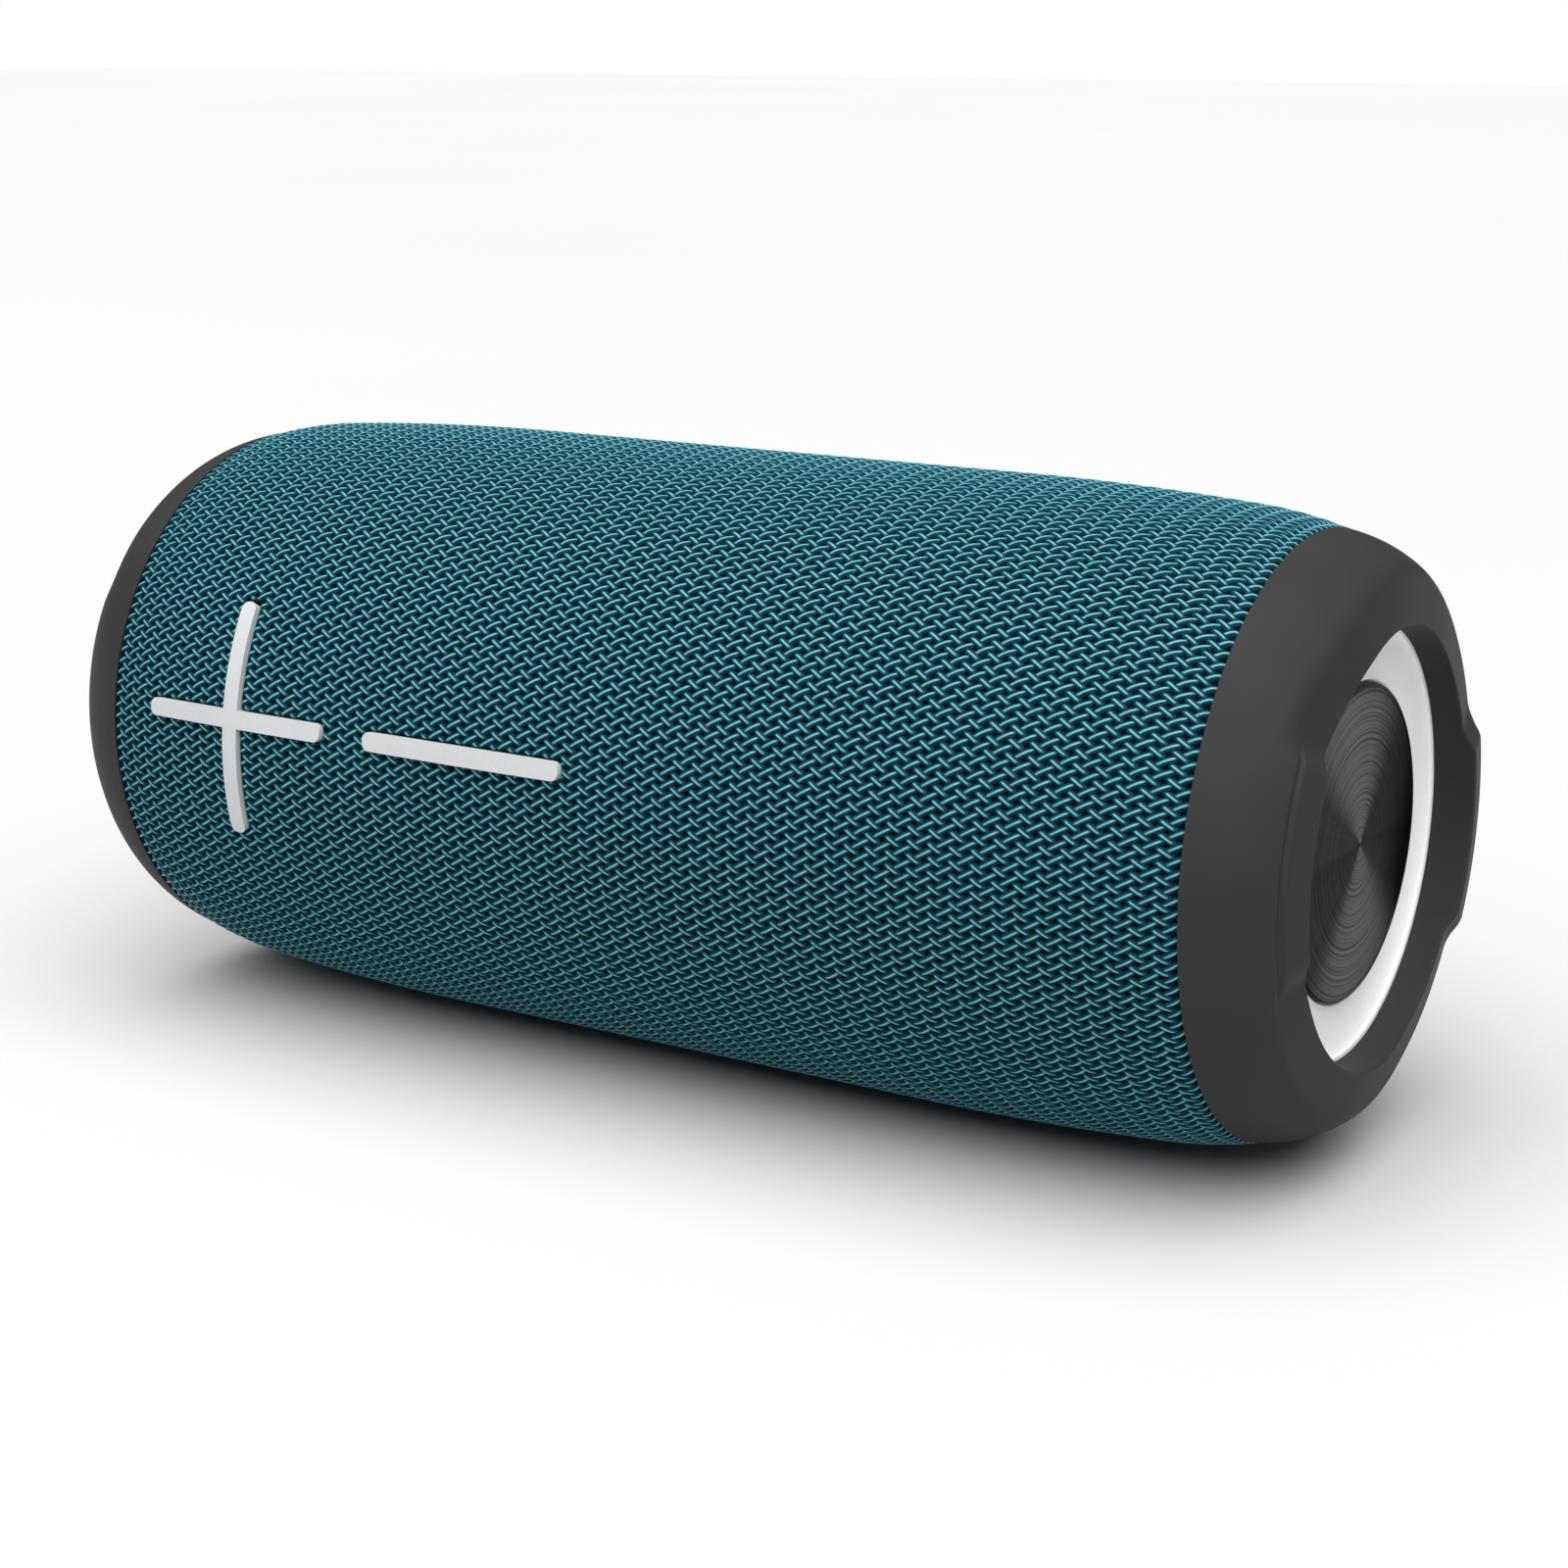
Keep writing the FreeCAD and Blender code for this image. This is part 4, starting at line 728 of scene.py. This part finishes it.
def spun_material():
    """Dark anodised disc turned in fine circles: real anisotropic reflection, and a painted highlight in
    its base colour that fans out from its centre.
    """
    nodes = Nodes("spun_anodised", Metallic=1.0, Anisotropic=0.85, Roughness=0.34,
                  Specular_Tint=(0.5, 0.5, 0.5, 1.0))
    split = nodes.add("ShaderNodeSeparateXYZ", {"Vector": nodes.position()})
    depth = split.outputs["Y"]
    height = nodes.math("SUBTRACT", split.outputs["Z"], AXIS_Z * MM)
    radius = nodes.math("SQRT", nodes.math("ADD", nodes.math("MULTIPLY", height, height),
                                           nodes.math("MULTIPLY", depth, depth)))
    circles = nodes.line_noise(nodes.math("MULTIPLY", radius, 1 / MM), 2.6, 5.0, 0.8)
    # Painted highlight: two bright wedges above and below the centre, with streaks, painted into the base
    # colour besides the real anisotropic reflection.
    turn = nodes.math("ARCTAN2", height, depth)
    highlight_fan = nodes.math("ABSOLUTE", nodes.math("SINE", nodes.math("SUBTRACT", turn, DISC_HIGHLIGHT_TURN)))
    highlight_streaks = nodes.line_noise(nodes.math("MULTIPLY", nodes.math("SINE", turn), 2.0), 2.0, 3.0, 0.5)
    highlight_fan = nodes.math("ADD", nodes.smooth(highlight_fan, 0.60, 1.0), nodes.between(highlight_streaks, -0.15, 0.25))
    highlight_fan = nodes.math("ADD", highlight_fan, DISC_HIGHLIGHT_BASE)
    # The painted highlight times the real turned circles.
    grooves_and_highlight = nodes.math("MULTIPLY", highlight_fan, nodes.between(circles, -0.5, 1.6))
    nodes.feed("Base Color", nodes.ramp(grooves_and_highlight, [(0.05, DISC_DARK), (1.0, DISC_HIGHLIGHT_COLOUR)]))
    nodes.bump(circles, 0.00002, 0.5)
    tangent = nodes.add("ShaderNodeTangent", direction_type="RADIAL", axis="X").outputs[0]
    nodes.feed("Tangent", tangent)
    return nodes.material


def soft_touch():
    """Soft-touch rubber of the caps."""
    nodes = Nodes("soft_touch_black", Specular_IOR_Level=0.08)
    grain = nodes.noise(2600.0, 4.0, 0.6)
    cloud = nodes.noise(30.0, 4.0)
    nodes.feed("Base Color", nodes.ramp(cloud, [(0.3, CAP_DARK), (0.7, CAP_LIGHT)]))
    nodes.feed("Roughness", nodes.between(cloud, 0.5, 0.6))
    nodes.bump(grain, 0.00001, 0.5)
    return nodes.material


def grey(value):
    return (value, value, value)


SURFACES = {
    "shell_plastic": lambda: moulded("black_shell", grey(0.012), grey(0.022)),
    "cap_rubber": soft_touch,
    "white_rubber": lambda: moulded("white_roll", grey(0.86), (0.92, 0.92, 0.925), 1800.0, (0.4, 0.5)),
    "spun_metal": spun_material,
    "steel": lambda: metal("plated_steel", (0.42, 0.42, 0.43), (0.6, 0.6, 0.61)),
    "ferrite": lambda: moulded("ferrite", (0.03, 0.03, 0.032), (0.06, 0.06, 0.062), 2200.0, (0.5, 0.7)),
    "copper": lambda: metal("enamelled_copper", (0.5, 0.2, 0.08), (0.72, 0.36, 0.17), (0.25, 0.4)),
    "cone_paper": lambda: moulded("pressed_paper", grey(0.012), grey(0.03), 1500.0, (0.7, 0.9), 0.00006),
    "black_rubber": lambda: moulded("black_rubber", grey(0.01), grey(0.02), 1500.0, (0.5, 0.65)),
    "spider_cloth": lambda: woven("spider_cloth", (0.3, 0.2, 0.05), (0.6, 0.45, 0.16)),
    "foam": lambda: moulded("seal_foam", grey(0.01), grey(0.035), 3000.0, (0.8, 0.95), 0.0001),
    "cell_wrap": lambda: moulded("cell_wrap", (0.02, 0.08, 0.30), (0.03, 0.11, 0.38), 500.0,
                                 (0.25, 0.35)),
    "circuit_board": lambda: moulded("solder_mask", (0.006, 0.06, 0.025), (0.012, 0.10, 0.04), 700.0,
                                     (0.3, 0.4)),
    "chip_plastic": lambda: moulded("chip_plastic", grey(0.012), grey(0.025), 1800.0, (0.4, 0.55)),
    "white_key": lambda: moulded("white_key_rubber", (0.44, 0.445, 0.45), (0.49, 0.495, 0.50), 2600.0,
                                 (0.45, 0.58), 0.00003),
    "panel_plastic": lambda: moulded("panel_black", grey(0.012), grey(0.024), 2000.0, (0.4, 0.5)),
    "rear_key_rubber": lambda: moulded("rear_key_rubber", grey(0.02), grey(0.04), 2400.0, (0.5, 0.6)),
    "light_pipe": lambda: moulded("light_pipe", (0.7, 0.75, 0.8), (0.85, 0.9, 0.95), 300.0, (0.15, 0.25)),
    "woven_fabric": lambda: woven("acoustic_cloth", (0.0015, 0.004, 0.010), (0.004, 0.010, 0.02)),
}


# ---------------------------------------------------------------- assembly
surfaces = {slot: make() for slot, make in SURFACES.items()}
for part in frame["record"]["subparts"]:
    node = frame["nodes"][part["node"]]
    node.material_slots[0].material = surfaces[part["material_slot"]]

strips = weave_pieces(yarn_material())
backing = backing_piece(surfaces["woven_fabric"])
for cloth in [backing, *strips]:
    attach(cloth, "housing")
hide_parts("fabric_sleeve")

for side in ("left", "right"):
    cap = cap_piece(side, surfaces["cap_rubber"])
    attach(cap, "housing")
    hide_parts(f"end_cap_{side}")
    radiator(side, surfaces["white_rubber"], surfaces["spun_metal"])


# ---------------------------------------------------------------- studio
FLOOR_HALF = 6000
SKY_STRENGTH = 5.9
SKY_SPREAD = math.radians(85)
SKY_LEAN = (-0.16, 0.36, -1.0)
FILL_STRENGTH = 0.16
CAMERA_PLACE = (0.21189, -0.33005, 0.13821)
CAMERA_FORWARD = (-0.51339, 0.82100, -0.24981)
CAMERA_LENS, CAMERA_SENSOR = 68.2, 36


def floor_piece():
    """Plain pale floor under the speaker's foot."""
    nodes = Nodes("studio_floor")
    cloud = nodes.noise(1.2, 3.0)
    nodes.feed("Base Color", nodes.ramp(cloud, [(0.3, FLOOR_DARK), (0.7, FLOOR_LIGHT)]))
    nodes.feed("Roughness", nodes.between(cloud, 0.75, 0.85))
    half = FLOOR_HALF
    corners = [(-half, -half, 0), (half, -half, 0), (half, half, 0), (-half, half, 0)]
    floor = mesh_piece("studio_floor", corners, [(0, 1, 2, 3)], nodes.material, smooth=False)


def looking(place, forward):
    """Placement of a lamp or camera that faces along forward, with no roll."""
    turn = forward.normalized().to_track_quat("-Z", "Y")
    return Matrix.Translation(place) @ turn.to_matrix().to_4x4()


def sky_light():
    """A very broad overhead light, even over the whole floor, leaning towards the front and the right."""
    data = bpy.data.lights.new("overhead", "SUN")
    data.energy = SKY_STRENGTH
    data.angle = SKY_SPREAD
    lamp = bpy.data.objects.new("overhead", data)
    lamp.matrix_world = looking(Vector((0, -0.5, 1.5)), Vector(SKY_LEAN))
    bpy.context.scene.collection.objects.link(lamp)


def backdrop():
    """White where the camera sees past the floor, and a dim even fill everywhere else."""
    world = bpy.data.worlds.new("studio")
    bpy.context.scene.world = world
    world.use_nodes = True
    tree = world.node_tree
    fill = tree.nodes["Background"]
    seen = tree.nodes.new("ShaderNodeBackground")
    for shader, strength in ((fill, FILL_STRENGTH), (seen, 1.0)):
        shader.inputs["Color"].default_value = (1, 1, 1, 1)
        shader.inputs["Strength"].default_value = strength
    path = tree.nodes.new("ShaderNodeLightPath")
    mixed = tree.nodes.new("ShaderNodeMixShader")
    tree.links.new(path.outputs["Is Camera Ray"], mixed.inputs[0])
    tree.links.new(fill.outputs[0], mixed.inputs[1])
    tree.links.new(seen.outputs[0], mixed.inputs[2])
    tree.links.new(mixed.outputs[0], tree.nodes["World Output"].inputs["Surface"])


floor_piece()
sky_light()
backdrop()
bpy.context.scene.view_settings.view_transform = "Standard"

camera = bpy.data.objects.new("camera", bpy.data.cameras.new("camera"))
camera.data.lens = CAMERA_LENS
camera.data.sensor_width = CAMERA_SENSOR
camera.data.clip_start = 0.01
camera.matrix_world = looking(Vector(CAMERA_PLACE), Vector(CAMERA_FORWARD))
bpy.context.scene.collection.objects.link(camera)
bpy.context.scene.camera = camera
